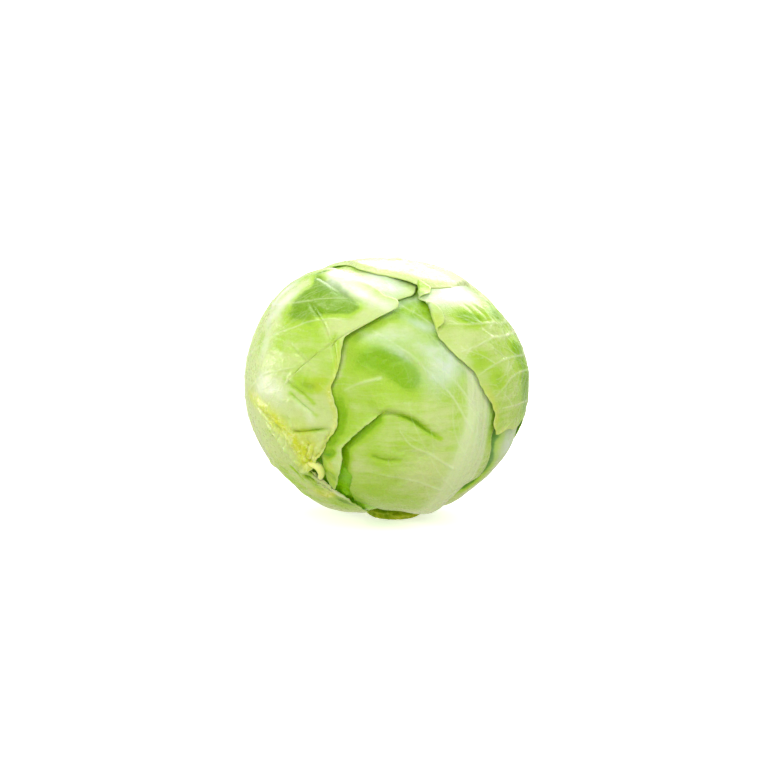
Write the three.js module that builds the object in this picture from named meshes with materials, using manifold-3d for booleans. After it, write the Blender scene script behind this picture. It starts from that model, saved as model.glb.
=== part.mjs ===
// A round green cabbage head standing on its cut stem. Millimetres, +Z up.
// The origin is the middle of the stem's cut face, and the front of the head looks towards -Y.
// Every leaf is a thin closed blade wrapped on the head. It is drawn flat as an outline round its
// own middle: a bearing in degrees (0 is up the head, 90 to the right as seen from outside, 180
// towards the stem) and a reach in mm along the head. Where an outer leaf lies over an inner one,
// the inner one is pressed in by one leaf pitch.
import * as THREE from "three";
import Module from "manifold-3d";
import { mergeVertices } from "three/addons/utils/BufferGeometryUtils.js";

// The head
const headMiddle = new THREE.Vector3(-4, 0, 81);
const headHalf = { side: 90, front: 88, up: 83, down: 77 };
const headSquareness = 2.15;
const arcRadius = 86; // mean radius, which turns a reach in mm into an angle
// Broad swellings and hollows: azimuth and height in degrees, rise in mm, spread in degrees
const swellings = [
  { azimuth: 90, height: 42, rise: -3.2, spread: 20 },
  { azimuth: -90, height: 50, rise: 4.0, spread: 26 },
  { azimuth: -90, height: -16, rise: -1.4, spread: 24 },
  { azimuth: -90, height: -38, rise: -1.2, spread: 24 },
  { azimuth: 90, height: 8, rise: 0.6, spread: 18 },
  { azimuth: 90, height: -34, rise: -4.4, spread: 30 },
  { azimuth: 0, height: -90, rise: -7.5, spread: 30 },
  { azimuth: -42, height: -60, rise: 5.5, spread: 17 },
  { azimuth: 42, height: -58, rise: 4.0, spread: 18 },
];

// The leaves' layers
const bladeThick = 1.2;
const layerPitch = 3.6; // one leaf and the air under it
const coverSpare = 3; // how far past its margin a leaf still presses the one below fully
const coverFade = 22; // and over what further distance that dies away
const heartSunk = 3; // the heart lies this far under the innermost leaf
const stemGap = 0.9;

// The stem's profile: height above the cut and radius
const stemProfile = [
  [0, 15.6],
  [1.2, 16.8],
  [8, 17.2],
  [14, 18.4],
  [26, 18.6],
  [44, 14],
  [60, 8.5],
  [68, 3.5],
];
const stemSides = 28;

const leafColours = { pale: 0xd0e09c, fresh: 0xadcc65, deep: 0x95bf32 };
const cutStemColour = 0x96a52d;

// From the innermost to the outermost. cells is how many cells its blade has across, lobes and wave shape the margin, lift turns it outwards,
// rib is the midrib's line, and tear is a split that runs in from the margin to the middle.
const leaves = [
  {
    name: "leaf_under_front",
    cells: 16,
    colour: leafColours.deep,
    middle: [-15, -40],
    outline: [
      [0, 45], [60, 45], [100, 45], [150, 50], [180, 53], [210, 50], [250, 45], [300, 45],
    ],
    lobes: 9,
    wave: 1.2,
    lift: 0.6,
    rib: [[180, 52], [190, 25], [0, 0], [0, 35]],
  },
  {
    name: "leaf_low_right",
    cells: 16,
    colour: leafColours.pale,
    middle: [75, -38],
    outline: [
      [0, 50], [45, 60], [90, 62], [130, 56], [165, 55], [180, 56], [195, 56], [225, 51],
      [255, 46], [290, 48], [330, 50],
    ],
    lobes: 8,
    wave: 1.5,
    lift: 1.2,
    rib: [[180, 55], [150, 20], [60, 20], [50, 50]],
  },
  {
    name: "leaf_front",
    cells: 20,
    colour: leafColours.fresh,
    middle: [-1, 2],
    outline: [
      [207, 66], [214, 64], [225, 57], [238, 50], [265, 50], [300, 62], [325, 84], [345, 104],
      [360, 108], [380, 104], [400, 94], [425, 86], [450, 79], [467, 75], [480, 83], [491, 90],
      [500, 81], [510, 86],
      [520, 101], [529, 117], [540, 117], [547, 101], [553, 87], [560, 80], [567, 77],
    ],
    lobes: 13,
    wave: 0.8,
    lift: 0.8,
    rib: [[167, 115], [156, 82], [143, 67], [126, 58], [108, 55], [83, 57], [60, 64], [45, 80]],
    tear: {
      overFirst: true,
      over: [[8, 233], [20, 231], [34, 228], [41, 219], [51, 214], [65, 211]],
      under: [[8, 231], [16, 233], [26, 236], [34, 235], [42, 222], [50, 205], [64, 203], [77, 198]],
    },
  },
  {
    name: "leaf_crown",
    cells: 20,
    colour: leafColours.pale,
    middle: [-72, 52],
    outline: [
      [0, 55], [20, 60], [35, 74], [48, 75], [58, 70], [70, 64], [85, 60], [100, 60],
      [115, 66], [130, 80], [145, 92], [158, 110], [168, 145], [175, 178], [180, 186],
      [188, 178], [195, 145], [205, 100], [225, 75], [260, 62], [310, 55],
    ],
    lobes: 10,
    wave: 1.2,
    lift: 0.5,
    rib: [[180, 180], [180, 60], [0, 0], [30, 60]],
  },
  {
    name: "leaf_right",
    cells: 20,
    colour: leafColours.fresh,
    middle: [85, 14],
    outline: [
      [0, 94], [25, 90], [55, 87], [85, 86], [110, 86], [132, 90], [148, 102], [158, 118],
      [166, 133], [173, 133], [177, 118], [182, 86], [190, 58], [203, 47], [218, 47],
      [232, 58], [240, 67], [250, 63], [263, 66], [280, 74], [293, 85], [310, 88],
      [318, 94], [335, 93],
    ],
    lobes: 15,
    wave: 1.0,
    lift: 1.4,
    rib: [[170, 132], [160, 100], [130, 55], [90, 35], [40, 45], [15, 80]],
  },
  {
    name: "leaf_low_back_right",
    cells: 16,
    colour: leafColours.pale,
    middle: [130, -25],
    outline: [
      [0, 52], [40, 60], [80, 62], [115, 60], [145, 66], [168, 75], [180, 76], [192, 74],
      [215, 62], [245, 55], [280, 57], [320, 53],
    ],
    lobes: 9,
    wave: 2.2,
    lift: 2.2,
    rib: [[180, 75], [180, 30], [0, 0], [0, 44]],
  },
  {
    name: "leaf_left",
    cells: 20,
    colour: leafColours.fresh,
    middle: [-58, -6],
    outline: [
      [136, 46], [143, 64], [149, 79], [156, 89], [166, 96], [174, 105], [184, 105],
      [193, 97], [210, 88], [240, 93], [270, 103], [300, 108], [325, 110], [343, 117],
      [352, 108], [360, 97], [372, 101], [384, 109], [395, 123], [400, 107], [402, 80],
      [411, 67], [423, 58], [447, 57], [461, 50], [476, 46], [488, 43], [496, 41],
    ],
    lobes: 17,
    wave: 0.8,
    lift: 1.2,
    rib: [[180, 104], [205, 70], [235, 45], [285, 40], [325, 62], [335, 95]],
    tear: {
      overFirst: false,
      over: [[8, 124], [20, 128], [30, 133], [44, 139]],
      under: [[8, 126], [14, 124], [20, 123], [30, 125], [36, 131], [44, 134]],
    },
  },
  {
    name: "leaf_top",
    cells: 20,
    colour: leafColours.pale,
    middle: [180, 30],
    outline: [
      [0, 124], [12, 112], [22, 92], [38, 82], [62, 84], [90, 92], [115, 82], [135, 78],
      [150, 92], [162, 118], [171, 150], [180, 157], [189, 150], [198, 118], [210, 90],
      [230, 76], [260, 88], [292, 96], [316, 99], [330, 124], [343, 134], [352, 130],
    ],
    lobes: 16,
    wave: 0.9,
    lift: 1.0,
    rib: [[180, 156], [180, 60], [0, 0], [355, 60], [350, 112]],
  },
  {
    name: "leaf_low_back_left",
    cells: 16,
    colour: leafColours.fresh,
    middle: [-135, -30],
    outline: [
      [0, 60], [30, 66], [60, 62], [95, 58], [130, 58], [158, 65], [174, 68], [188, 68],
      [202, 63], [230, 56], [265, 60], [300, 66], [330, 57],
    ],
    lobes: 10,
    wave: 2.4,
    lift: 2.4,
    rib: [[180, 67], [180, 30], [0, 0], [0, 48]],
  },
];

const rad = THREE.MathUtils.degToRad;
const deg = THREE.MathUtils.radToDeg;

function directionOf(azimuth, height) {
  const a = rad(azimuth);
  const h = rad(height);
  return new THREE.Vector3(Math.sin(a) * Math.cos(h), -Math.cos(a) * Math.cos(h), Math.sin(h));
}

// How far the outside of the head lies from its middle, in one direction
function headRadius(d) {
  const half = [headHalf.side, headHalf.front, d.z < 0 ? headHalf.down : headHalf.up];
  const sum = [d.x, d.y, d.z].reduce(
    (total, part, i) => total + Math.abs(part / half[i]) ** headSquareness,
    0,
  );
  let radius = sum ** (-1 / headSquareness);
  for (const s of swellings) {
    const away = deg(directionOf(s.azimuth, s.height).angleTo(d));
    radius += s.rise * Math.exp(-((away / s.spread) ** 2));
  }
  return radius;
}

// A smooth curve through points [x, y] that never overshoots them. With a turn, it closes on itself.
function smoothCurve(points, turn = 0) {
  const first = points[0];
  const last = points[points.length - 1];
  const knots = turn
    ? [[last[0] - turn, last[1]], ...points, [first[0] + turn, first[1]]]
    : points;
  const slopes = knots.slice(1).map((p, i) => (p[1] - knots[i][1]) / (p[0] - knots[i][0]));
  const bend = knots.map((p, i) => {
    const before = slopes[turn && i === 0 ? slopes.length - 2 : i - 1];
    const after = slopes[turn && i === knots.length - 1 ? 1 : i];
    if (before === undefined || after === undefined || before * after <= 0) return 0;
    return (2 * before * after) / (before + after);
  });
  return (x) => {
    const at = THREE.MathUtils.clamp(x, knots[0][0], knots[knots.length - 1][0]);
    let i = 0;
    while (i < knots.length - 2 && at > knots[i + 1][0]) i += 1;
    const width = knots[i + 1][0] - knots[i][0];
    const t = (at - knots[i][0]) / width;
    const rise = t * t * (3 - 2 * t);
    return (
      knots[i][1] * (1 - rise) +
      knots[i + 1][1] * rise +
      width * (bend[i] * t * (1 - t) ** 2 - bend[i + 1] * t * t * (1 - t))
    );
  };
}

// A leaf's own directions on the head: its middle, up and to the right
function prepareLeaf(leaf) {
  const [azimuth, height] = leaf.middle;
  const a = rad(azimuth);
  const h = rad(height);
  leaf.out = directionOf(azimuth, height);
  leaf.up = new THREE.Vector3(-Math.sin(a) * Math.sin(h), Math.cos(a) * Math.sin(h), Math.cos(h));
  leaf.right = new THREE.Vector3(Math.cos(a), Math.sin(a), 0);
  const plain = smoothCurve(leaf.outline, leaf.tear ? 0 : 360);
  const start = leaf.outline[0][0];
  leaf.edge = (bearing) => {
    const at = start + THREE.MathUtils.euclideanModulo(bearing - start, 360);
    return plain(at) + leaf.wave * Math.sin(rad(at * leaf.lobes));
  };
  leaf.ribPoints = leaf.rib.map(([bearing, reach]) => flat(bearing, reach));
  if (leaf.tear) {
    leaf.overLine = smoothCurve(leaf.tear.over);
    leaf.underLine = smoothCurve(leaf.tear.under);
  }
  leaf.margin = marginOf(leaf);
}

function flat(bearing, reach) {
  return new THREE.Vector2(Math.sin(rad(bearing)), Math.cos(rad(bearing))).multiplyScalar(reach);
}

function towards(leaf, bearing, reach) {
  const angle = reach / arcRadius;
  const side = leaf.up
    .clone()
    .multiplyScalar(Math.cos(rad(bearing)))
    .addScaledVector(leaf.right, Math.sin(rad(bearing)));
  return leaf.out.clone().multiplyScalar(Math.cos(angle)).addScaledVector(side, Math.sin(angle));
}

// The leaf's margin as points about 2 mm apart: drawn flat, and as directions from the head's middle
const marginStep = 2;

function marginOf(leaf) {
  const margin = [];
  for (let turn = 0; turn <= 360; turn += 0.25) {
    const { bearing, reach } = placeOnLeaf(leaf, { share: 1, turn }, turn === 360);
    const spot = flat(bearing, reach);
    const last = margin[margin.length - 1];
    if (!last || last.spot.distanceTo(spot) > marginStep) {
      margin.push({ spot, way: towards(leaf, bearing, reach) });
    }
  }
  return margin;
}

function isInside(margin, spot) {
  let inside = false;
  margin.forEach(({ spot: a }, i) => {
    const b = margin[(i + 1) % margin.length].spot;
    if (a.y > spot.y === b.y > spot.y) return;
    if (spot.x < a.x + ((spot.y - a.y) / (b.y - a.y)) * (b.x - a.x)) inside = !inside;
  });
  return inside;
}

// 1 where a leaf lies over that direction, dying away outside its margin
function cover(leaf, d) {
  const bearing = deg(Math.atan2(d.dot(leaf.right), d.dot(leaf.up)));
  const reach = arcRadius * Math.acos(THREE.MathUtils.clamp(d.dot(leaf.out), -1, 1));
  if (isInside(leaf.margin, flat(bearing, reach))) return 1;
  const nearest = Math.min(...leaf.margin.map(({ way }) => way.distanceToSquared(d)));
  const outside = arcRadius * Math.sqrt(nearest);
  return 1 - THREE.MathUtils.smoothstep(outside, coverSpare, coverSpare + coverFade);
}

// How deep the leaves from number `first` on press what lies under them, and how much still shows
function pressed(first, d) {
  let depth = 0;
  let shown = 1;
  for (const leaf of leaves.slice(first)) {
    const over = cover(leaf, d);
    depth += over * layerPitch;
    shown *= 1 - over;
  }
  return { depth, shown };
}

function distanceToLine(point, line) {
  let nearest = Infinity;
  let along = 0;
  for (let i = 1; i < line.length; i += 1) {
    const way = line[i].clone().sub(line[i - 1]);
    const t = THREE.MathUtils.clamp(
      point.clone().sub(line[i - 1]).dot(way) / way.lengthSq(), 0, 1,
    );
    const away = point.distanceTo(line[i - 1].clone().addScaledVector(way, t));
    if (away < nearest) {
      nearest = away;
      along = (i - 1 + t) / (line.length - 1);
    }
  }
  return { nearest, along };
}

// The midrib stands out most by the stem, and the margin waves outwards
const ribHeight = 3.2;
const ribWidth = 7;
const liftWidth = 16;

function relief(leaf, bearing, reach) {
  const { nearest, along } = distanceToLine(flat(bearing, reach), leaf.ribPoints);
  const width = ribWidth * (1 - 0.5 * along);
  const rib = ribHeight * (1 - along) ** 1.2 * Math.exp(-((nearest / width) ** 2));
  const fromEdge = leaf.edge(bearing) - reach;
  const wavy = 0.5 + 0.5 * Math.sin(rad(bearing * (leaf.lobes + 2) + 40));
  const lift = leaf.lift * wavy * (1 - THREE.MathUtils.smoothstep(fromEdge, 0, liftWidth));
  return rib + lift;
}

const stemRadiusAt = smoothCurve(stemProfile);

// A leaf's base ends against the stem
function clearOfStem(p) {
  const least = stemRadiusAt(p.z) + stemGap;
  const away = Math.hypot(p.x, p.y);
  if (away < least) {
    p.x *= least / away;
    p.y *= least / away;
  }
  return p;
}

// A square grid opened out to a disc: cell corner (i, j) to a turn round the leaf's middle and a
// share of the way to the margin. The turn is 0 along the row that runs from the left to the middle.
function discPlace(i, j, cells) {
  const u = (2 * i) / cells - 1;
  const v = (2 * j) / cells - 1;
  if (u === 0 && v === 0) return { share: 0, turn: 0 };
  if (Math.abs(u) >= Math.abs(v)) {
    return { share: Math.abs(u), turn: ((u < 0 ? 360 : 180) - (45 * v) / u) % 360 };
  }
  return { share: Math.abs(v), turn: (v > 0 ? 90 : 270) + (45 * u) / v };
}

const tearSpread = 120; // how far round from a tear the leaf is drawn towards it, in degrees
const tearOpen = 14; // over this reach from its end, the tear's two edges part
const tearLift = 3.4; // how far the upper edge stands over the lower one

// Where a grid corner lies on the leaf. low is true on the second of the tear's two edges.
function placeOnLeaf(leaf, place, low) {
  const turn = low ? 360 : place.turn;
  const start = leaf.outline[0][0];
  const reach = leaf.edge(start + Math.min(turn, 359.99)) * place.share;
  if (!leaf.tear) return { bearing: start + turn, reach, lift: 0 };
  const first = turn < 180;
  const isOver = first === leaf.tear.overFirst;
  const away = first ? turn : 360 - turn;
  const pull = Math.max(0, 1 - away / tearSpread) ** 2;
  const line = isOver ? leaf.overLine : leaf.underLine;
  const near = Math.max(0, 1 - away / 45) ** 2;
  return {
    bearing: start + turn + (line(reach) - start) * pull,
    reach,
    lift: isOver ? tearLift * near * THREE.MathUtils.smoothstep(reach, 0, tearOpen) : 0,
  };
}

function leafPoint(leaf, number, place, low, under) {
  const { bearing, reach, lift } = placeOnLeaf(leaf, place, low);
  const d = towards(leaf, bearing, reach);
  const { depth, shown } = pressed(number + 1, d);
  const raised = (relief(leaf, bearing, reach) + lift) * shown;
  const radius = headRadius(d) - depth + (under ? lift * shown - bladeThick : raised);
  return clearOfStem(headMiddle.clone().addScaledVector(d, radius));
}

// Both faces of the blade on the same grid, joined by a wall round the margin and along the tear
function leafGeometry(leaf, number) {
  const positions = [];
  const faces = [];
  const half = leaf.cells / 2;
  const corners = { over: new Map(), under: new Map() };
  const corner = (face, i, j, lowSide) => {
    const low = Boolean(leaf.tear) && j === half && i < half && lowSide;
    const key = `${i},${j},${low}`;
    if (!corners[face].has(key)) {
      const p = leafPoint(leaf, number, discPlace(i, j, leaf.cells), low, face === "under");
      corners[face].set(key, positions.length / 3);
      positions.push(p.x, p.y, p.z);
    }
    return corners[face].get(key);
  };
  const borders = new Map();
  const border = (a, b, c, d) => {
    const back = `${b},${a}`;
    if (borders.has(back)) borders.delete(back);
    else borders.set(`${a},${b}`, [a, b, c, d]);
  };
  for (let j = 0; j < leaf.cells; j += 1) {
    for (let i = 0; i < leaf.cells; i += 1) {
      const lowSide = j < half;
      const ring = [[i, j], [i + 1, j], [i + 1, j + 1], [i, j + 1]];
      const top = ring.map(([a, b]) => corner("over", a, b, lowSide));
      const bottom = ring.map(([a, b]) => corner("under", a, b, lowSide));
      const split = (i < half) === (j < half) ? [0, 1, 2, 0, 2, 3] : [0, 1, 3, 1, 2, 3];
      for (let k = 0; k < 6; k += 3) {
        const [a, b, c] = split.slice(k, k + 3);
        faces.push(top[a], top[b], top[c]);
        faces.push(bottom[a], bottom[c], bottom[b]);
      }
      for (let k = 0; k < 4; k += 1) {
        const next = (k + 1) % 4;
        border(top[k], top[next], bottom[next], bottom[k]);
      }
    }
  }
  for (const [a, b, c, d] of borders.values()) faces.push(a, d, c, a, c, b);
  return closedGeometry(positions, faces);
}

// The faces turned outwards, if the grid ran the other way round
function closedGeometry(positions, faces) {
  const geometry = new THREE.BufferGeometry();
  geometry.setAttribute("position", new THREE.Float32BufferAttribute(positions, 3));
  let volume = 0;
  const at = (k) => new THREE.Vector3().fromArray(positions, 3 * k);
  for (let k = 0; k < faces.length; k += 3) {
    volume += at(faces[k]).dot(at(faces[k + 1]).cross(at(faces[k + 2])));
  }
  if (volume < 0) {
    for (let k = 0; k < faces.length; k += 3) {
      [faces[k + 1], faces[k + 2]] = [faces[k + 2], faces[k + 1]];
    }
  }
  geometry.setIndex(faces);
  return geometry;
}

// The stem: a lathed core, cut flat at the bottom, that goes up into the heart
function stemGeometry(grow = 0) {
  const profile = [new THREE.Vector2(0, stemProfile[0][0] - grow)];
  for (const [z, radius] of stemProfile) {
    const low = z === 0 ? grow : 0;
    profile.push(new THREE.Vector2(radius + grow, z - low));
  }
  profile.push(new THREE.Vector2(0, stemProfile[stemProfile.length - 1][0] + 1.5 + grow));
  return new THREE.LatheGeometry(profile, stemSides).rotateX(Math.PI / 2);
}

// The heart: the tight inner leaves, pressed together, with the edges of three of them raised
const heartDetail = 8;
const heartEdges = [
  { middle: [20, 35], reach: 70, rise: 1.4 },
  { middle: [-110, 20], reach: 78, rise: 1.4 },
  { middle: [140, 10], reach: 82, rise: 1.4 },
];

function heartGeometry() {
  const ball = new THREE.IcosahedronGeometry(1, heartDetail);
  const place = ball.getAttribute("position");
  for (let k = 0; k < place.count; k += 1) {
    const d = new THREE.Vector3().fromBufferAttribute(place, k).normalize();
    let radius = headRadius(d) - heartSunk - pressed(0, d).depth;
    for (const edge of heartEdges) {
      const away = arcRadius * directionOf(...edge.middle).angleTo(d);
      radius -= edge.rise * THREE.MathUtils.smoothstep(away, edge.reach, edge.reach + 10);
    }
    place.setXYZ(k, ...headMiddle.clone().addScaledVector(d, radius));
  }
  return ball;
}

const wasm = await Module();
wasm.setup();

function solidOf(geometry) {
  const bare = geometry.clone();
  bare.deleteAttribute("normal");
  bare.deleteAttribute("uv");
  const merged = mergeVertices(bare, 1e-4);
  return new wasm.Manifold(
    new wasm.Mesh({
      numProp: 3,
      vertProperties: new Float32Array(merged.getAttribute("position").array),
      triVerts: new Uint32Array(merged.index.array),
    }),
  );
}

function geometryOf(solid) {
  const { vertProperties, triVerts } = solid.getMesh();
  const geometry = new THREE.BufferGeometry();
  geometry.setAttribute("position", new THREE.BufferAttribute(vertProperties, 3));
  geometry.setIndex(new THREE.BufferAttribute(triVerts, 1));
  return geometry;
}

function piece(name, geometry, colour, roughness) {
  const shown = geometry.index ? geometry : mergeVertices(geometry);
  shown.computeVertexNormals();
  const material = new THREE.MeshStandardMaterial({ color: colour, roughness, metalness: 0 });
  const mesh = new THREE.Mesh(shown, material);
  mesh.name = name;
  return mesh;
}

leaves.forEach(prepareLeaf);

const head = new THREE.Group();
head.add(piece("stem", stemGeometry(), cutStemColour, 0.75));
const socket = solidOf(stemGeometry(0.8));
const heart = solidOf(heartGeometry()).subtract(socket);
head.add(piece("heart", geometryOf(heart), leafColours.deep, 0.5));
leaves.forEach((leaf, number) => {
  head.add(piece(leaf.name, leafGeometry(leaf, number), leaf.colour, 0.42));
});

export default head;
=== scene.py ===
import math

import bpy
import numpy as np
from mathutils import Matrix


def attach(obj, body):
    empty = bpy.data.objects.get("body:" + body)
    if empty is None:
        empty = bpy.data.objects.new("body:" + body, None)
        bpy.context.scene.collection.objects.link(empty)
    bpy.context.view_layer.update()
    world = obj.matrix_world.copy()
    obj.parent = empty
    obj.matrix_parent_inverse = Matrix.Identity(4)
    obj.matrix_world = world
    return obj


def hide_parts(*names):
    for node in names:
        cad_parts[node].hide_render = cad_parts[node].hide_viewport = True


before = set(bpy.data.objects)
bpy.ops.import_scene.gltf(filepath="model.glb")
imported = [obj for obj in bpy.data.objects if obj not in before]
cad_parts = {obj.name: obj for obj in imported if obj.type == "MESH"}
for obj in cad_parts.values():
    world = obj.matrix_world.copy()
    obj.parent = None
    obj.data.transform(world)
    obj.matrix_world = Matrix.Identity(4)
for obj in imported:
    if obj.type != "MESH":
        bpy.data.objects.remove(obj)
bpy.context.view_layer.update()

mm = 0.001


def newMaterial(name):
    material = bpy.data.materials.new(name)
    material.use_nodes = True
    nodes = material.node_tree.nodes
    shader = next(n for n in nodes if n.type == "BSDF_PRINCIPLED")
    return material, material.node_tree, shader


# inputs takes values or the sockets to join to
def addNode(tree, kind, inputs=None, **settings):
    node = tree.nodes.new(kind)
    for key, value in settings.items():
        setattr(node, key, value)
    for key, value in (inputs or {}).items():
        socket = node.inputs[key]
        if isinstance(value, bpy.types.NodeSocket):
            tree.links.new(value, socket)
        else:
            socket.default_value = value
    return node


def setSockets(node, values):
    for label, value in values.items():
        node.inputs[label].default_value = value


def doMath(tree, operation, a, b=0.0, clamp=False):
    return addNode(tree, "ShaderNodeMath", {0: a, 1: b}, operation=operation, use_clamp=clamp).outputs[0]


def times(tree, a, b):
    return doMath(tree, "MULTIPLY", a, b)


# total + value * share
def plus(tree, total, value, share):
    return doMath(tree, "ADD", total, doMath(tree, "MULTIPLY", value, share))


def stretch(tree, vector, factors):
    return addNode(tree, "ShaderNodeVectorMath", {0: vector, 1: factors}, operation="MULTIPLY").outputs[0]


def mixColour(tree, factor, a, b):
    node = addNode(tree, "ShaderNodeMix", {0: factor, 6: a, 7: b}, data_type="RGBA")
    node.clamp_factor = True
    return node.outputs[2]


def rangeOf(tree, value, low, high, toLow=0.0, toHigh=1.0):
    return addNode(tree, "ShaderNodeMapRange", {0: value, 1: low, 2: high, 3: toLow, 4: toHigh},
                   interpolation_type="SMOOTHSTEP").outputs[0]


# a shader node group: ins are (name, kind, value), outs are (name, kind)
def groupOf(name, ins, outs):
    group = bpy.data.node_groups.new(name, "ShaderNodeTree")
    for label, kind, value in ins:
        socket = group.interface.new_socket(name=label, in_out="INPUT", socket_type="NodeSocket" + kind)
        socket.default_value = value
    for label, kind in outs:
        group.interface.new_socket(name=label, in_out="OUTPUT", socket_type="NodeSocket" + kind)
    return group, group.nodes.new("NodeGroupInput").outputs, group.nodes.new("NodeGroupOutput")


def noiseOf(tree, vector, scale, detail=3.0, rough=0.5):
    return addNode(tree, "ShaderNodeTexNoise",
                   {"Vector": vector, "Scale": scale, "Detail": detail, "Roughness": rough}).outputs["Fac"]


print("camera and stage")

cameraSettings = dict(aimX=-0.00273, aimZ=0.081, distance=1.5, elevation=10, lens=108.84)


def placeCamera(aimX, aimZ, distance, elevation, lens):
    camera = bpy.data.objects.new("camera", bpy.data.cameras.new("camera"))
    bpy.context.scene.collection.objects.link(camera)
    tilt = math.radians(elevation)
    camera.location = (aimX, -distance * math.cos(tilt), aimZ + distance * math.sin(tilt))
    camera.rotation_euler = (math.radians(90) - tilt, 0, 0)
    camera.data.lens = lens
    camera.data.sensor_width = 36
    camera.data.clip_start = 0.05
    camera.data.clip_end = 30
    bpy.context.scene.camera = camera


placeCamera(**cameraSettings)

stageSettings = dict(halfWidth=6.0, nearEdge=-6.0, bendAt=2.2, bendRadius=1.6, wallTop=6.0, bendSteps=16,
                     glow=0.5, roughness=0.85, paper=((0.90, 0.90, 0.895, 1), (0.93, 0.93, 0.93, 1)))


# a sheet of paper that bends up behind the head
def makeStage(halfWidth, nearEdge, bendAt, bendRadius, wallTop, bendSteps, glow, roughness, paper):
    profile = [(nearEdge, 0.0)]
    for step in range(bendSteps + 1):
        angle = math.radians(90 * step / bendSteps)
        profile.append((bendAt + bendRadius * math.sin(angle), bendRadius * (1 - math.cos(angle))))
    profile.append((bendAt + bendRadius, wallTop))
    points = [(side * halfWidth, y, z) for y, z in profile for side in (-1, 1)]
    faces = [(2 * i, 2 * i + 1, 2 * i + 3, 2 * i + 2) for i in range(len(profile) - 1)]
    mesh = bpy.data.meshes.new("sweep")
    mesh.from_pydata(points, [], faces)
    mesh.polygons.foreach_set("use_smooth", [True] * len(faces))
    sweep = bpy.data.objects.new("sweep", mesh)
    bpy.context.scene.collection.objects.link(sweep)
    material, tree, shader = newMaterial("sweepPaper")
    coords = addNode(tree, "ShaderNodeTexCoord").outputs["Object"]
    grain = addNode(tree, "ShaderNodeTexNoise", {"Vector": coords, "Scale": 3.0, "Detail": 2.0}).outputs["Fac"]
    tree.links.new(mixColour(tree, grain, *paper), shader.inputs["Base Color"])
    setSockets(shader, {"Roughness": roughness, "Emission Color": (1, 1, 1, 1), "Emission Strength": glow})
    mesh.materials.append(material)
    sweep.visible_glossy = False
    sweep.visible_diffuse = False


makeStage(**stageSettings)

# position, aim, width, height, watts, colour
lightSettings = dict(
    topBack=((0.35, 1.05, 0.95), (0, 0, 0.09), 1.3, 0.9, 19.0, (1.0, 1.0, 1.0)),
    overhead=((-0.34, 0.28, 1.2), (0, 0, 0.09), 0.5, 0.26, 3.2, (1.0, 1.0, 1.0)),
    leftBack=((-1.10, 0.28, 0.24), (0, 0, 0.09), 0.34, 0.4, 4.0, (1.0, 1.0, 1.0)),
    rightFront=((0.90, -0.68, 0.85), (0, 0, 0.09), 0.45, 0.45, 4.0, (0.97, 0.99, 1.0)),
    frontTop=((-0.45, -1.25, 1.25), (0, 0, 0.08), 1.2, 0.9, 10.0, (1.0, 1.0, 1.0)),
)


def placeLights(settings):
    for name, (place, aim, width, height, watts, colour) in settings.items():
        data = bpy.data.lights.new(name, "AREA")
        data.shape = "RECTANGLE"
        data.size = width
        data.size_y = height
        data.energy = watts
        data.color = colour
        light = bpy.data.objects.new(name, data)
        bpy.context.scene.collection.objects.link(light)
        light.location = place
        away = np.array(place) - np.array(aim)
        flat = math.hypot(away[0], away[1])
        light.rotation_euler = (math.atan2(flat, away[2]), 0, math.atan2(away[1], away[0]) + math.radians(90))


placeLights(lightSettings)

# how bright the studio is on each side of the head, and the colour of what the floor throws back
worldSettings = dict(front=0.95, back=0.68, right=0.85, below=1.2, floorColour=(1.0, 0.98, 0.78, 1))


def makeWorld(front, back, right, below, floorColour):
    world = bpy.data.worlds.new("studio")
    bpy.context.scene.world = world
    world.use_nodes = True
    tree = world.node_tree
    way = addNode(tree, "ShaderNodeTexCoord").outputs["Generated"]
    parts = addNode(tree, "ShaderNodeSeparateXYZ", {0: way}).outputs
    level = addNode(tree, "ShaderNodeMapRange", {0: parts[1], 1: -0.9, 2: 0.3, 3: front, 4: back}).outputs[0]
    side = addNode(tree, "ShaderNodeMapRange", {0: parts[0], 1: 0.0, 2: 0.8, 3: 1.0, 4: right}).outputs[0]
    low = addNode(tree, "ShaderNodeMapRange", {0: parts[2], 1: -0.8, 2: 0.1, 3: below, 4: 1.0}).outputs[0]
    level = times(tree, times(tree, level, side), low)
    colour = mixColour(tree, rangeOf(tree, parts[2], -0.6, 0.0), floorColour, (1.0, 1.0, 1.0, 1))
    tree.links.new(colour, tree.nodes["Background"].inputs["Color"])
    tree.links.new(level, tree.nodes["Background"].inputs["Strength"])


makeWorld(**worldSettings)
bpy.context.scene.view_settings.view_transform = "Standard"
bpy.context.scene.view_settings.look = "None"


# the head's shape, in mm from the middle of the stem's cut face
headMiddle = np.array([-4.0, 0.0, 81.0])
headUpper = np.array([90.0, 88.0, 83.0])
headLower = np.array([90.0, 88.0, 77.0])
headSquareness = 2.15
arcRadius = 86.0  # turns an angle on the head into mm of reach
# soft rises and dips of the head: azimuth, height, rise, spread in degrees
swellings = [
    (90, 42, -3.2, 20), (-90, 50, 4.0, 26), (-90, -16, -1.4, 24), (-90, -38, -1.2, 24), (90, 8, 0.6, 18),
    (90, -34, -4.4, 30), (0, -90, -7.5, 30), (-42, -60, 5.5, 17), (42, -58, 4.0, 18),
]
layerPitch = 1.9  # how deep each leaf lies under the one over it
coverSpare = 3.0  # it lies that deep until this far past the upper leaf's margin
coverFade = 15.0  # and comes up again over this distance
grooveWidth = 2.6
# height, radius
stemProfile = [(0, 15.6), (1.2, 16.8), (8, 17.2), (14, 18.4), (26, 18.6), (44, 14), (60, 8.5), (68, 3.5)]


def directionOf(azimuth, height):
    a, h = math.radians(azimuth), math.radians(height)
    return np.array([math.sin(a) * math.cos(h), -math.cos(a) * math.cos(h), math.sin(h)])


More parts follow.
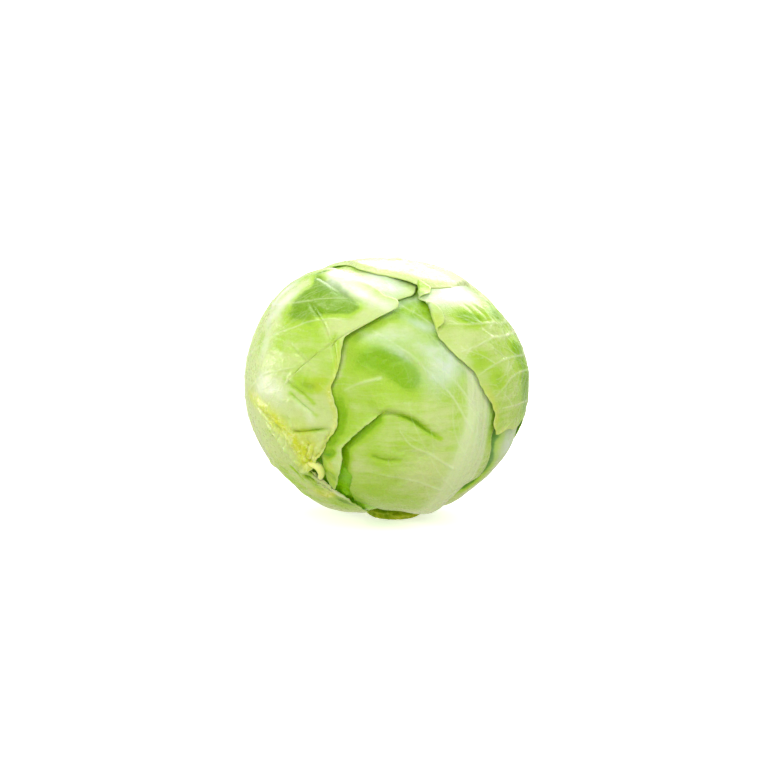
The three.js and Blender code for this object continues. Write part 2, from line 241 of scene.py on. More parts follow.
def headRadius(d):
    half = np.where(d[:, 2:] < 0, headLower, headUpper)
    radius = (np.abs(d / half) ** headSquareness).sum(1) ** (-1 / headSquareness)
    for azimuth, height, rise, spread in swellings:
        away = np.degrees(np.arccos(np.clip(d @ directionOf(azimuth, height), -1, 1)))
        radius += rise * np.exp(-(away / spread) ** 2)
    return radius


def smoothstep(x, low, high):
    t = np.clip((x - low) / (high - low), 0, 1)
    return t * t * (3 - 2 * t)


# points (x, y) joined by a curve that doesn't overshoot them
def smoothCurve(points, turn=0):
    knots = [tuple(p) for p in points]
    if turn:
        knots = [(knots[-1][0] - turn, knots[-1][1])] + knots + [(knots[0][0] + turn, knots[0][1])]
    x = np.array([k[0] for k in knots], float)
    y = np.array([k[1] for k in knots], float)
    slope = np.diff(y) / np.diff(x)
    before = np.concatenate([[slope[-2] if turn else 0], slope])
    after = np.concatenate([slope, [slope[1] if turn else 0]])
    same = before * after > 0
    bend = np.where(same, 2 * before * after / np.where(same, before + after, 1), 0)

    def at(value):
        v = np.clip(value, x[0], x[-1])
        i = np.clip(np.searchsorted(x, v, side="right") - 1, 0, len(x) - 2)
        width = x[i + 1] - x[i]
        t = (v - x[i]) / width
        rise = t * t * (3 - 2 * t)
        return (y[i] * (1 - rise) + y[i + 1] * rise
                + width * (bend[i] * t * (1 - t) ** 2 - bend[i + 1] * t * t * (1 - t)))
    return at


# a leaf is laid out flat round its middle: bearing in degrees clockwise from up, reach in mm
def flatPlace(bearing, reach):
    b = np.radians(bearing)
    return np.stack([np.sin(b) * reach, np.cos(b) * reach], -1)


def towards(leaf, bearing, reach):
    b, angle = np.radians(bearing), np.asarray(reach) / arcRadius
    side = np.cos(b)[..., None] * leaf["up"] + np.sin(b)[..., None] * leaf["right"]
    return np.cos(angle)[..., None] * leaf["out"] + np.sin(angle)[..., None] * side


def inLeaf(leaf, d):
    bearing = np.degrees(np.arctan2(d @ leaf["right"], d @ leaf["up"]))
    reach = arcRadius * np.arccos(np.clip(d @ leaf["out"], -1, 1))
    return bearing, reach


# a smooth wavering between -1 and 1 that closes on itself
def wander(x, seed):
    rng = np.random.default_rng(seed)
    total = 0
    for harmonic, size in ((7, 0.4), (13, 0.5), (23, 0.5), (41, 0.4), (67, 0.3)):
        total = total + size * np.sin(np.radians(x * harmonic) + rng.uniform(0, 6.28))
    return total / 1.3


def insidePolygon(polygon, spots):
    inside = np.zeros(len(spots), bool)
    a, b = polygon, np.roll(polygon, -1, 0)
    for start in range(0, len(spots), 8000):
        s = spots[start:start + 8000]
        crosses = (a[None, :, 1] > s[:, None, 1]) != (b[None, :, 1] > s[:, None, 1])
        rise = np.where(b[:, 1] == a[:, 1], 1e-9, b[:, 1] - a[:, 1])
        x = a[None, :, 0] + (s[:, None, 1] - a[None, :, 1]) / rise[None] * (b[:, 0] - a[:, 0])[None]
        inside[start:start + 8000] = (crosses & (s[:, None, 0] < x)).sum(1) % 2 == 1
    return inside


def nearestDistance(targets, spots):
    nearest = np.empty(len(spots))
    for start in range(0, len(spots), 8000):
        s = spots[start:start + 8000]
        squares = (s ** 2).sum(1)[:, None] + (targets ** 2).sum(1)[None] - 2 * s @ targets.T
        nearest[start:start + 8000] = np.sqrt(np.maximum(squares.min(1), 0))
    return nearest


def prepareLeaf(leaf):
    azimuth, height = leaf["middle"]
    a, h = math.radians(azimuth), math.radians(height)
    leaf["out"] = directionOf(azimuth, height)
    leaf["up"] = np.array([-math.sin(a) * math.sin(h), math.cos(a) * math.sin(h), math.cos(h)])
    leaf["right"] = np.array([math.cos(a), math.sin(a), 0.0])
    leaf["start"] = leaf["outline"][0][0]
    plain = smoothCurve(leaf["outline"], 0 if leaf.get("tear") else 360)

    def edge(bearing):
        at = leaf["start"] + np.mod(bearing - leaf["start"], 360)
        fray = leaf["fray"] * wander(at, leaf["seed"])
        return plain(at) + leaf["wave"] * np.sin(np.radians(at * leaf["lobes"])) + fray
    leaf["edge"] = edge
    if leaf.get("tear"):
        leaf["overLine"] = smoothCurve(leaf["tear"]["over"])
        leaf["underLine"] = smoothCurve(leaf["tear"]["under"])
    turn = np.linspace(0, 360, 1441)
    bearing, reach, _ = placeOnLeaf(leaf, np.ones_like(turn), turn, turn == 360)
    spots = flatPlace(bearing, reach)
    keep = [0]
    for k in range(1, len(spots)):
        if np.hypot(*(spots[k] - spots[keep[-1]])) > 1.6:
            keep.append(k)
    leaf["margin"] = spots[keep]
    leaf["farthest"] = reach.max()
    leaf["marginWay"] = towards(leaf, bearing[keep], reach[keep])


tearSpread = 120.0  # how far round from a tear the leaf is drawn towards it, in degrees


# bearing, reach and lift of a point a share of the way to the margin
def placeOnLeaf(leaf, share, turn, low):
    turn = np.where(low, 360.0, turn)
    start = leaf["start"]
    reach = leaf["edge"](start + np.minimum(turn, 359.99)) * share
    if not leaf.get("tear"):
        return start + turn, reach, np.zeros_like(reach)
    tear = leaf["tear"]
    first = turn < 180
    isOver = first == tear["overFirst"]
    away = np.where(first, turn, 360 - turn)
    pull = np.maximum(0, 1 - away / tearSpread) ** 2
    line = np.where(isOver, leaf["overLine"](reach), leaf["underLine"](reach))
    ragged = tear["ragged"] * wander(reach * 3, leaf["seed"] + 5) * smoothstep(reach, 0, 12)
    line = line + np.degrees(ragged / np.maximum(reach, 4))
    near = np.maximum(0, 1 - away / 45) ** 2
    lift = np.where(isOver, smoothCurve(tear["lift"])(reach) * near, 0)
    return start + turn + (line - start) * pull, reach, lift


# a value given at some bearings, read at any bearing
def aroundLeaf(points, bearing):
    return smoothCurve(points, 360)(np.mod(bearing - points[0][0], 360) + points[0][0])


stack = []  # the leaves made so far, from the outermost


# how deep a place lies under the leaves over it, and how much it shows
def pressed(d):
    depth = np.zeros(len(d))
    shown = np.ones(len(d))
    for leaf in stack:
        over = np.zeros(len(d))
        bearing, reach = inLeaf(leaf, d)
        near = np.flatnonzero(reach < leaf["farthest"] + coverSpare + coverFade)
        inside = insidePolygon(leaf["margin"], flatPlace(bearing[near], reach[near]))
        over[near[inside]] = 1
        near = near[~inside]
        outside = arcRadius * nearestDistance(leaf["marginWay"], d[near])
        over[near] = 1 - smoothstep(outside, coverSpare, coverSpare + leaf.get("fade", coverFade))
        if leaf.get("groove"):
            sunk = aroundLeaf(leaf["groove"], bearing[near])
            depth[near] += sunk * np.exp(-(np.maximum(outside - 1.0, 0) / grooveWidth) ** 2)
        depth += over * layerPitch
        shown *= 1 - over
    return depth, shown


# the (bearing, reach) points as a smooth line in the flat leaf, points about step mm apart
def polyline(points, step=2.0):
    p = flatPlace(*np.array(points, float).T)
    if len(p) > 2:
        padded = np.vstack([2 * p[0] - p[1], p, 2 * p[-1] - p[-2]])
        fine = []
        for k in range(1, len(padded) - 2):
            a, b, c, e = padded[k - 1:k + 3]
            count = max(2, int(np.hypot(*(c - b)) / step))
            for t in np.arange(count) / count:
                fine.append(0.5 * (2 * b + (c - a) * t + (2 * a - 5 * b + 4 * c - e) * t ** 2
                                   + (3 * b - a - 3 * c + e) * t ** 3))
        fine.append(p[-1])
        p = np.array(fine)
    return p


# distance from a line, the share of its length there, and the signed side
def alongLine(spots, line):
    a, b = line[:-1], line[1:]
    way = b - a
    length = np.hypot(way[:, 0], way[:, 1])
    run = np.concatenate([[0], np.cumsum(length)])
    distance, share, side = (np.empty(len(spots)) for _ in range(3))
    for start in range(0, len(spots), 6000):
        s = spots[start:start + 6000]
        to = s[:, None] - a[None]
        t = np.clip((to * way[None]).sum(2) / (length ** 2)[None], 0, 1)
        off = to - t[..., None] * way[None]
        away = np.hypot(off[..., 0], off[..., 1])
        k = away.argmin(1)
        rows = np.arange(len(s))
        part = slice(start, start + len(s))
        distance[part] = away[rows, k]
        share[part] = (run[k] + t[rows, k] * length[k]) / run[-1]
        side[part] = np.sign(way[k, 0] * to[rows, k, 1] - way[k, 1] * to[rows, k, 0])
    return distance, share, side


veinStep = 3.0


# laterals off the midrib and branches off them: (line, width at start, at end, strength)
def growVeins(leaf, rng):
    veins = []
    grow = leaf["growth"]

    def run(start, heading, bend, length, width, strength, level):
        points = [start]
        spot, turned = start.copy(), heading
        count = max(3, int(length / veinStep))
        for k in range(count):
            turned += bend / count + rng.normal(0, 0.05)
            spot = spot + veinStep * np.array([math.sin(turned), math.cos(turned)])
            if not insidePolygon(leaf["margin"], spot[None])[0]:
                break
            points.append(spot)
            if level < 3 and k > 1 and rng.random() < grow["branching"]:
                side = 1 if (k % 2) else -1
                left = (count - k) * veinStep
                run(spot, turned + side * rng.uniform(0.6, 0.95), -side * rng.uniform(0.2, 0.6),
                    left * rng.uniform(0.45, 0.75), width * 0.6, strength * 0.7, level + 1)
        if len(points) > 2:
            veins.append((np.array(points), width, width * 0.35, strength))

    rib = leaf["ribLine"]
    stepTo = np.hypot(*np.diff(rib, axis=0).T)
    total = np.concatenate([[0], np.cumsum(stepTo)])
    for side in (-1, 1):
        for at in np.arange(grow["first"] + (side + 1) * grow["gap"] / 4, total[-1], grow["gap"]):
            k = min(int(np.searchsorted(total, at)), len(rib) - 1)
            way = rib[k] - rib[k - 1]
            heading = math.atan2(way[0], way[1])
            run(rib[k].copy(), heading + side * rng.uniform(*grow["angle"]), -side * rng.uniform(0.3, 0.7),
                grow["length"] * rng.uniform(0.8, 1.1), grow["width"], grow["strength"], 1)
    for points in leaf.get("veins", []):
        line = polyline(points, veinStep)
        veins.append((line, grow["width"] * 1.3, grow["width"] * 0.6, 1.0))
        for k in range(3, len(line) - 2):
            if rng.random() < grow["branching"] * 0.8:
                way = line[k] - line[k - 1]
                side = 1 if (k % 2) else -1
                run(line[k].copy(), math.atan2(way[0], way[1]) + side * rng.uniform(0.6, 1.0),
                    -side * rng.uniform(0.2, 0.6), rng.uniform(15, 30), grow["width"] * 0.6,
                    grow["strength"] * 0.8, 2)
    return veins


# how near each spot is to a vein, sharply and softly
def veinField(spots, veins):
    sharp = np.zeros(len(spots))
    halo = np.zeros(len(spots))
    for line, w0, w1, strength in veins:
        low, high = line.min(0) - w0 * 9, line.max(0) + w0 * 9
        near = np.flatnonzero(((spots > low) & (spots < high)).all(1))
        if not len(near):
            continue
        far, share, _ = alongLine(spots[near], line)
        size = w0 + (w1 - w0) * share
        power = strength * (1 - 0.45 * share)
        sharp[near] = np.maximum(sharp[near], power * np.exp(-(far / size) ** 2))
        halo[near] = np.maximum(halo[near], power * np.exp(-(far / (size * 4.5)) ** 2))
    return sharp, halo


# corners of a square grid opened out to a disc, and its cells as quads; a torn leaf needs an even count
def discGrid(cells, torn):
    steps = np.arange(cells + 1)
    i, j = np.meshgrid(steps, steps, indexing="ij")
    u, v = 2 * i / cells - 1.0, 2 * j / cells - 1.0
    wide = np.abs(u) >= np.abs(v)
    share = np.where(wide, np.abs(u), np.abs(v))
    ratio = np.where(wide, v / np.where(u == 0, 1, u), u / np.where(v == 0, 1, v))
    turn = np.where(wide, np.where(u < 0, 360, 180) - 45 * ratio, np.where(v > 0, 90, 270) + 45 * ratio)
    turn = np.where(share == 0, 0, np.mod(turn, 360)).ravel()
    share = share.ravel()
    low = np.zeros(len(share), bool)
    number = i * (cells + 1) + j
    quads = np.stack([number[:-1, :-1], number[1:, :-1], number[1:, 1:], number[:-1, 1:]], -1)
    if torn:
        half = cells // 2
        row = number[:half, half]
        extra = np.arange(half) + len(share)
        share = np.concatenate([share, share[row]])
        turn = np.concatenate([turn, turn[row]])
        low = np.concatenate([low, np.ones(half, bool)])
        swap = np.arange(len(share))
        swap[row] = extra
        quads[:half, half - 1] = swap[quads[:half, half - 1]]
    return share, turn, low, quads.reshape(-1, 4)


def cornerNormals(points, quads):
    a, b, c, d = (points[quads[:, k]] for k in range(4))
    face = np.cross(c - a, d - b)
    normals = np.zeros_like(points)
    for k in range(4):
        np.add.at(normals, quads[:, k], face)
    length = np.linalg.norm(normals, axis=1, keepdims=True)
    return normals / np.where(length == 0, 1, length)


stemRadiusAt = smoothCurve(stemProfile)
stemSpare = 0.7  # mm between the stem and a leaf


def clearOfStem(p):
    least = stemRadiusAt(p[:, 2]) + stemSpare
    away = np.maximum(np.hypot(p[:, 0], p[:, 1]), 1e-6)
    grow = np.where(away < least, least / away, 1.0)
    p[:, 0] *= grow
    p[:, 1] *= grow
    return p


# sum of soft round patches: (bearing, reach, spread, size)
def gaussians(spots, patches):
    total = np.zeros(len(spots))
    for bearing, reach, spread, size in patches:
        to = spots - flatPlace(bearing, reach)
        total += size * np.exp(-(to ** 2).sum(1) / spread ** 2)
    return total


# marks painted along lines, a list for each field: (points, width, strength)
def strokes(spots, leaf, field):
    total = np.zeros(len(spots))
    for points, width, strength in leaf.get("strokes", {}).get(field, []):
        far, share, _ = alongLine(spots, polyline(points))
        total += strength * np.exp(-(far / width) ** 2) * (0.6 + 0.4 * np.sin(share * math.pi))
    return total


# ridges and furrows that run side by side from one guide line to another
def wrinkleHeight(spots, leaf, rng):
    height = np.zeros(len(spots))
    for fan in leaf.get("wrinkles", []):
        guides = [polyline(fan[side], 1.0) for side in ("first", "last")]
        steps = np.linspace(0, 1, 24)
        a, b = (line[np.round(steps * (len(line) - 1)).astype(int)] for line in guides)
        for k in range(fan["count"]):
            share = (k + rng.uniform(0.2, 0.8)) / fan["count"]
            bend = fan["wander"] * wander(steps * 60, int(rng.integers(1000)))
            way = np.gradient(a * (1 - share) + b * share, axis=0)
            way /= np.maximum(np.hypot(way[:, 0], way[:, 1]), 1e-6)[:, None]
            line = a * (1 - share) + b * share + np.stack([-way[:, 1], way[:, 0]], -1) * bend[:, None]
            start, end = sorted(rng.uniform(0, 1, 2))
            end = max(end, start + fan["least"])
            far, along, _ = alongLine(spots, line)
            size = fan["height"] * rng.uniform(0.5, 1.0) * (1 if rng.random() < 0.6 else -1)
            begun = smoothstep(along, start - 0.12, start + 0.12)
            done = smoothstep(along, end - 0.12, end + 0.12)
            height += size * begun * (1 - done) * np.exp(-(far / fan["width"]) ** 2)
    return height


def plainMesh(name, points, faces):
    mesh = bpy.data.meshes.new(name)
    faces = np.asarray(faces)
    mesh.vertices.add(len(points))
    mesh.vertices.foreach_set("co", (points * mm).ravel())
    mesh.loops.add(faces.size)
    mesh.loops.foreach_set("vertex_index", faces.ravel())
    mesh.polygons.add(len(faces))
    mesh.polygons.foreach_set("loop_start", np.arange(0, faces.size, faces.shape[1]))
    mesh.update(calc_edges=True)
    mesh.validate()
    mesh.polygons.foreach_set("use_smooth", np.ones(len(mesh.polygons), bool))
    piece = bpy.data.objects.new(name, mesh)
    bpy.context.scene.collection.objects.link(piece)
    return piece


def storeValues(mesh, name, values):
    kind = "FLOAT" if values.ndim == 1 else "FLOAT_VECTOR"
    field = mesh.attributes.new(name, kind, "POINT")
    field.data.foreach_set("value" if values.ndim == 1 else "vector", values.astype(np.float32).ravel())


def storeMap(mesh, flat):
    layer = mesh.uv_layers.new(name="leafMap")
    corner = np.empty(len(mesh.loops), np.int32)
    mesh.loops.foreach_get("vertex_index", corner)
    layer.data.foreach_set("uv", (flat[corner] / 400 + 0.5).astype(np.float32).ravel())


# raises the ribs, veins, puckers and crumples of a leaf
def reliefTree():
    tree = bpy.data.node_groups.new("leafRelief", "GeometryNodeTree")
    face = tree.interface
    face.new_socket(name="Geometry", in_out="INPUT", socket_type="NodeSocketGeometry")
    for name in ("Rib height", "Vein height", "Pucker height", "Pucker size", "Crumple height", "Crumple size",
                 "Seed"):
        face.new_socket(name=name, in_out="INPUT", socket_type="NodeSocketFloat").default_value = 1.0
    face.new_socket(name="Material", in_out="INPUT", socket_type="NodeSocketMaterial")
    face.new_socket(name="Geometry", in_out="OUTPUT", socket_type="NodeSocketGeometry")
    inputs = tree.nodes.new("NodeGroupInput").outputs
    place = addNode(tree, "GeometryNodeInputPosition").outputs[0]

    def named(name, kind="FLOAT"):
        node = addNode(tree, "GeometryNodeInputNamedAttribute", {"Name": name}, data_type=kind)
        return next(s for s in node.outputs if s.enabled and s.name == "Attribute")

    def noise(size, seed, detail, at):
        scale = doMath(tree, "DIVIDE", 1000.0, size)
        node = addNode(tree, "ShaderNodeTexNoise", {"Vector": at, "W": seed, "Scale": scale, "Detail": detail},
                       noise_dimensions="4D")
        return doMath(tree, "SUBTRACT", node.outputs[0], 0.5)

    rib = times(tree, named("rib"), inputs["Rib height"])
    vein = times(tree, named("vein"), inputs["Vein height"])
    raised = times(tree, doMath(tree, "ADD", rib, vein), named("outer"))
    waves = noise(inputs["Pucker size"], inputs["Seed"], 2.0, place)
    pucker = times(tree, times(tree, waves, inputs["Pucker height"]), 2.0)
    pucker = times(tree, pucker, named("pucker"))
    seed = doMath(tree, "ADD", inputs["Seed"], 7.0)
    folds = noise(inputs["Crumple size"], seed, 3.0, named("grain", "FLOAT_VECTOR"))
    ridge = doMath(tree, "SUBTRACT", 0.12, doMath(tree, "ABSOLUTE", folds))
    crumple = times(tree, times(tree, ridge, 5.0), inputs["Crumple height"])
    crumple = times(tree, crumple, named("crumple"))
    total = doMath(tree, "ADD", doMath(tree, "ADD", raised, pucker), crumple)
    total = times(tree, times(tree, total, named("shown")), mm)
    offset = addNode(tree, "ShaderNodeVectorMath", {0: named("out", "FLOAT_VECTOR")}, operation="SCALE")
    tree.links.new(total, offset.inputs["Scale"])
    moved = addNode(tree, "GeometryNodeSetPosition",
                    {"Geometry": inputs["Geometry"], "Offset": offset.outputs[0]}).outputs[0]
    real = addNode(tree, "GeometryNodeRealizeInstances", {"Geometry": moved}).outputs[0]
    dressed = addNode(tree, "GeometryNodeSetMaterial", {"Geometry": real, "Material": inputs["Material"]})
    addNode(tree, "NodeGroupOutput", {0: dressed.outputs[0]})
    return tree


leafRelief = reliefTree()


def runNodes(piece, tree, values):
    modifier = piece.modifiers.new("shape", "NODES")
    modifier.node_group = tree
    for item in tree.interface.items_tree:
        if item.item_type == "SOCKET" and item.in_out == "INPUT" and item.name in values:
            modifier[item.identifier] = values[item.name]
    made = bpy.data.meshes.new_from_object(piece.evaluated_get(bpy.context.evaluated_depsgraph_get()))
    piece.modifiers.remove(modifier)
    piece.data = made
    made.name = piece.name


def srgb(red, green, blue):
    linear = [((c / 255 + 0.055) / 1.055) ** 2.4 if c > 10 else c / 3295 for c in (red, green, blue)]
    return (*linear, 1.0)


# the greens of a leaf from its darkest tone to its palest (the darkest also carry painted shade), its ribs, its
# wilted parts, and its bloom colour, which also paints highlights
leafPalette = dict(Dark=srgb(84, 150, 0), Deep=srgb(130, 178, 0), Fresh=srgb(164, 202, 56),
                   Pale=srgb(196, 214, 136), White=srgb(212, 224, 176), Yellow=srgb(196, 208, 52),
                   Dry=srgb(224, 236, 138), Frost=srgb(214, 229, 210))
leafGloss = {"Subsurface Weight": 0.35, "Subsurface Radius": (0.5, 1.0, 0.15), "Subsurface Scale": 0.003,
             "Coat Weight": 0.15, "Coat Roughness": 0.17, "IOR": 1.34, "Specular Tint": (0.8, 1.0, 0.35, 1.0)}


# the fine net of veinlets and the streaks along the midrib
def netGroup():
    group, ins, out = groupOf("veinNet", [("Place", "Vector", (0, 0, 0)), ("Streak", "Vector", (0, 0, 0))],
                              [("Net", "Float"), ("Fine", "Float"), ("Streaks", "Float")])
    warp = addNode(group, "ShaderNodeTexNoise", {"Vector": ins["Place"], "Scale": 60.0, "Detail": 2.0})
    bent = addNode(group, "ShaderNodeVectorMath",
                   {0: warp.outputs["Color"], 1: (0.012, 0.012, 0.012), 2: ins["Place"]},
                   operation="MULTIPLY_ADD")
    for label, scale, width in (("Net", 62.0, 0.13), ("Fine", 190.0, 0.16)):
        cells = addNode(group, "ShaderNodeTexVoronoi", {"Vector": bent.outputs[0], "Scale": scale},
                        feature="DISTANCE_TO_EDGE", voronoi_dimensions="2D")
        group.links.new(rangeOf(group, cells.outputs["Distance"], 0.0, width, 1.0, 0.0), out.inputs[label])
    stretched = stretch(group, ins["Streak"], (6.0, 330.0, 1.0))
    group.links.new(noiseOf(group, stretched, 1.0, 3.0, 0.6), out.inputs["Streaks"])
    return group


# the tone picks the green, and painted shade pulls it towards the darkest greens; then ribs, veins, bloom with
# painted highlights, wilting and the margin are laid over it
def colourGroup():
    values = ("Tone", "Rib", "Vein", "Halo", "Wilt", "BloomAndHighlight", "Margin", "Net", "Fine", "Streaks")
    group, ins, out = groupOf(
        "leafColour",
        [("Place", "Vector", (0, 0, 0))] + [(label, "Float", 0) for label in values]
        + [(label, "Color", (0, 0, 0, 1)) for label in leafPalette],
        [("Color", "Color")])
    broad = doMath(group, "SUBTRACT", noiseOf(group, ins["Place"], 17.0, 3.0), 0.5)
    small = doMath(group, "SUBTRACT", noiseOf(group, ins["Place"], 85.0, 4.0, 0.65), 0.5)
    tone = plus(group, ins["Tone"], broad, 1.3)
    tone = plus(group, tone, small, 0.8)
    level = stretch(group, ins["Place"], (1.0, 1.0, 7.0))
    brushed = doMath(group, "SUBTRACT", noiseOf(group, level, 34.0, 4.0, 0.7), 0.5)
    tone = plus(group, tone, brushed, 1.4)
    colour = mixColour(group, rangeOf(group, tone, -4.2, -2.2), ins["Dark"], ins["Deep"])
    colour = mixColour(group, rangeOf(group, tone, -1.0, 0.0), colour, ins["Fresh"])
    colour = mixColour(group, rangeOf(group, tone, 0.0, 1.0), colour, ins["Pale"])
    net = plus(group, times(group, ins["Net"], 0.05), ins["Fine"], 0.03)
    net = plus(group, net, ins["Halo"], 0.14)
    colour = mixColour(group, net, colour, ins["Pale"])
    colour = mixColour(group, times(group, ins["Vein"], 0.6), colour, ins["White"])
    streak = rangeOf(group, ins["Streaks"], 0.28, 0.72, 0.68, 1.0)
    ribMask = times(group, rangeOf(group, ins["Rib"], 0.05, 0.75), streak)
    colour = mixColour(group, ribMask, colour, ins["White"])
    bloomAndHighlight = times(group, ins["BloomAndHighlight"], rangeOf(group, small, -0.25, 0.2, 0.5, 1.0))
    colour = mixColour(group, bloomAndHighlight, colour, ins["Frost"])
    spots = rangeOf(group, noiseOf(group, ins["Place"], 130.0, 4.0, 0.7), 0.35, 0.6)
    wilt = times(group, ins["Wilt"], rangeOf(group, spots, 0.0, 1.0, 0.65, 1.0))
    flecks = rangeOf(group, noiseOf(group, ins["Place"], 210.0, 4.0, 0.7), 0.46, 0.66)
    colour = mixColour(group, wilt, colour, mixColour(group, flecks, ins["Yellow"], ins["Dry"]))
    colour = mixColour(group, times(group, ins["Margin"], 0.45), colour, ins["Pale"])
    group.links.new(colour, out.inputs["Color"])
    return group


# how rough and how lumpy the skin is
def skinGroup():
    group, ins, out = groupOf(
        "leafSkin",
        [("Place", "Vector", (0, 0, 0)), ("Net", "Float", 0), ("Fine", "Float", 0), ("Streaks", "Float", 0),
         ("Rib", "Float", 0), ("Wilt", "Float", 0), ("BloomAndHighlight", "Float", 0)],
        [("Roughness", "Float"), ("Normal", "Vector")])
    fine = noiseOf(group, ins["Place"], 300.0, 4.0, 0.6)
    lumps = noiseOf(group, ins["Place"], 55.0, 3.0)
    height = plus(group, times(group, ins["Net"], 0.12), ins["Fine"], 0.08)
    height = plus(group, height, fine, 0.12)
    height = plus(group, height, lumps, 1.1)
    streaks = times(group, ins["Streaks"], times(group, ins["Rib"], 0.8))
    height = doMath(group, "ADD", height, streaks)
    bump = addNode(group, "ShaderNodeBump", {"Height": height, "Distance": 0.0009, "Strength": 0.55})
    group.links.new(bump.outputs[0], out.inputs["Normal"])
    rough = rangeOf(group, fine, 0.3, 0.7, 0.24, 0.34)
    rough = plus(group, rough, ins["Wilt"], 0.18)
    rough = doMath(group, "ADD", rough, times(group, ins["BloomAndHighlight"], 0.08), clamp=True)
    group.links.new(rough, out.inputs["Roughness"])
    return group


veinNet, leafColour, leafSkin = netGroup(), colourGroup(), skinGroup()


# a leaf's own colours go in as changes to the palette
def leafMaterial(name, **changes):
    material, tree, shader = newMaterial(name)
    place = addNode(tree, "ShaderNodeTexCoord").outputs["Object"]
    flat = addNode(tree, "ShaderNodeUVMap", uv_map="leafMap").outputs[0]

    def named(field, output="Fac"):
        return addNode(tree, "ShaderNodeAttribute", attribute_name=field).outputs[output]

    net = addNode(tree, "ShaderNodeGroup", node_tree=veinNet)
    tree.links.new(flat, net.inputs["Place"])
    tree.links.new(named("ribPlace", "Vector"), net.inputs["Streak"])
    rib, wilt, bloomAndHighlight = named("ribTint"), named("wilt"), named("bloomAndHighlight")
    colour = addNode(tree, "ShaderNodeGroup", node_tree=leafColour)
    skin = addNode(tree, "ShaderNodeGroup", node_tree=leafSkin)
    for node in (colour, skin):
        tree.links.new(place, node.inputs["Place"])
        tree.links.new(rib, node.inputs["Rib"])
        tree.links.new(wilt, node.inputs["Wilt"])
        tree.links.new(bloomAndHighlight, node.inputs["BloomAndHighlight"])
        for label in ("Net", "Fine", "Streaks"):
            tree.links.new(net.outputs[label], node.inputs[label])
    for label in ("Tone", "Vein", "Halo", "Margin"):
        tree.links.new(named(label.lower()), colour.inputs[label])
    for label, value in {**leafPalette, **changes}.items():
        colour.inputs[label].default_value = value
    tree.links.new(colour.outputs["Color"], shader.inputs["Base Color"])
    tree.links.new(skin.outputs["Roughness"], shader.inputs["Roughness"])
    tree.links.new(skin.outputs["Normal"], shader.inputs["Normal"])
    setSockets(shader, leafGloss)
    return material


# the margin rolled back over the leaf: where each point goes, and how far it stands up
def rollHem(leaf, bearing, reach, edge):
    if not leaf.get("hem"):
        return reach, np.zeros(len(reach))
    hem = leaf["hem"]
    width = smoothCurve(hem["width"])(np.mod(bearing - leaf["start"], 360) + leaf["start"])
    bow = np.minimum(hem["bow"], width / 3.3 + 1e-6)
    past = np.maximum(reach - (edge - width), 0) * (width > 0.05)
    angle = np.minimum(past / bow, math.pi)
    back = np.maximum(past - math.pi * bow, 0)
    folded = np.where(past > 0, (edge - width) + bow * np.sin(angle) - back, reach)
    return folded, bow * (1 - np.cos(angle)) + back * hem["stand"]


def creaseHeight(spots, leaf):
    height = np.zeros(len(spots))
    for points, deep, wide, shoulder, back in leaf.get("creases", []):
        far, share, side = alongLine(spots, polyline(points))
        taper = smoothstep(share, 0, 0.15) * (1 - smoothstep(share, 0.6, 1.0))
        furrow = -deep * np.exp(-(far / wide) ** 2)
        raised = np.where(side * np.sign(back) > 0, shoulder, 0) * smoothstep(far, 0, 3 * wide)
        height += (furrow + raised * np.exp(-(far / abs(back)) ** 2)) * taper
    return height


# where a torn edge's line starts, the dip under it, how much painted shade darkens the tone there, and the pale
# lip's width
tearLook = dict(first=8.0, dip=1.2, shadeTone=3.4, lip=1.1)  # mm, mm, tone, mm


# under a torn edge the leaf dips and is painted a darker green as shade; the edge itself is pale
def tearMarks(leaf, spots, turn, low):
    if not leaf.get("tear"):
        return np.zeros(len(spots)), np.zeros(len(spots))
    run = np.linspace(tearLook["first"], float(leaf["edge"](leaf["start"] + 0.01)), 30)
    far, _, _ = alongLine(spots, flatPlace(leaf["overLine"](run), run))
    beneath = (np.where(low, 360, turn) < 180) != leaf["tear"]["overFirst"]
    dipAndShade = np.where(beneath, np.exp(-(far / leaf["tear"]["shadow"]) ** 2), 0)
    return dipAndShade, np.where(beneath, 0, np.exp(-(far / tearLook["lip"]) ** 2))


# both faces of a blade on the same grid, joined by a wall round the margin and along the tear
def bladeMesh(name, middle, d, quads, thick):
    out = cornerNormals(middle, quads)
    if (out * d).sum() < 0:
        quads, out = quads[:, ::-1], -out
    count = len(middle)
    starts, ends = quads.ravel(), np.roll(quads, -1, 1).ravel()
    forward = starts.astype(np.int64) * count + ends
    lonely = ~np.isin(forward, ends.astype(np.int64) * count + starts)
    a, b = starts[lonely], ends[lonely]
    wall = np.stack([b, a, a + count, b + count], -1)
    half = out * thick[:, None] / 2
    faces = np.vstack([quads, quads[:, ::-1] + count, wall])
    return plainMesh(name, np.vstack([middle + half, middle - half]), faces), out


# every piece rides on the root body, in the place of a solid
def handOver(piece, node):
    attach(piece, "root")
    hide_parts(node)


# mm over which a blade thins towards its margin, a pressed margin lies down and the puckers die away
marginSpans = dict(thin=7, press=9, pucker=10)
marginThickness = 0.62  # as a share of the blade's


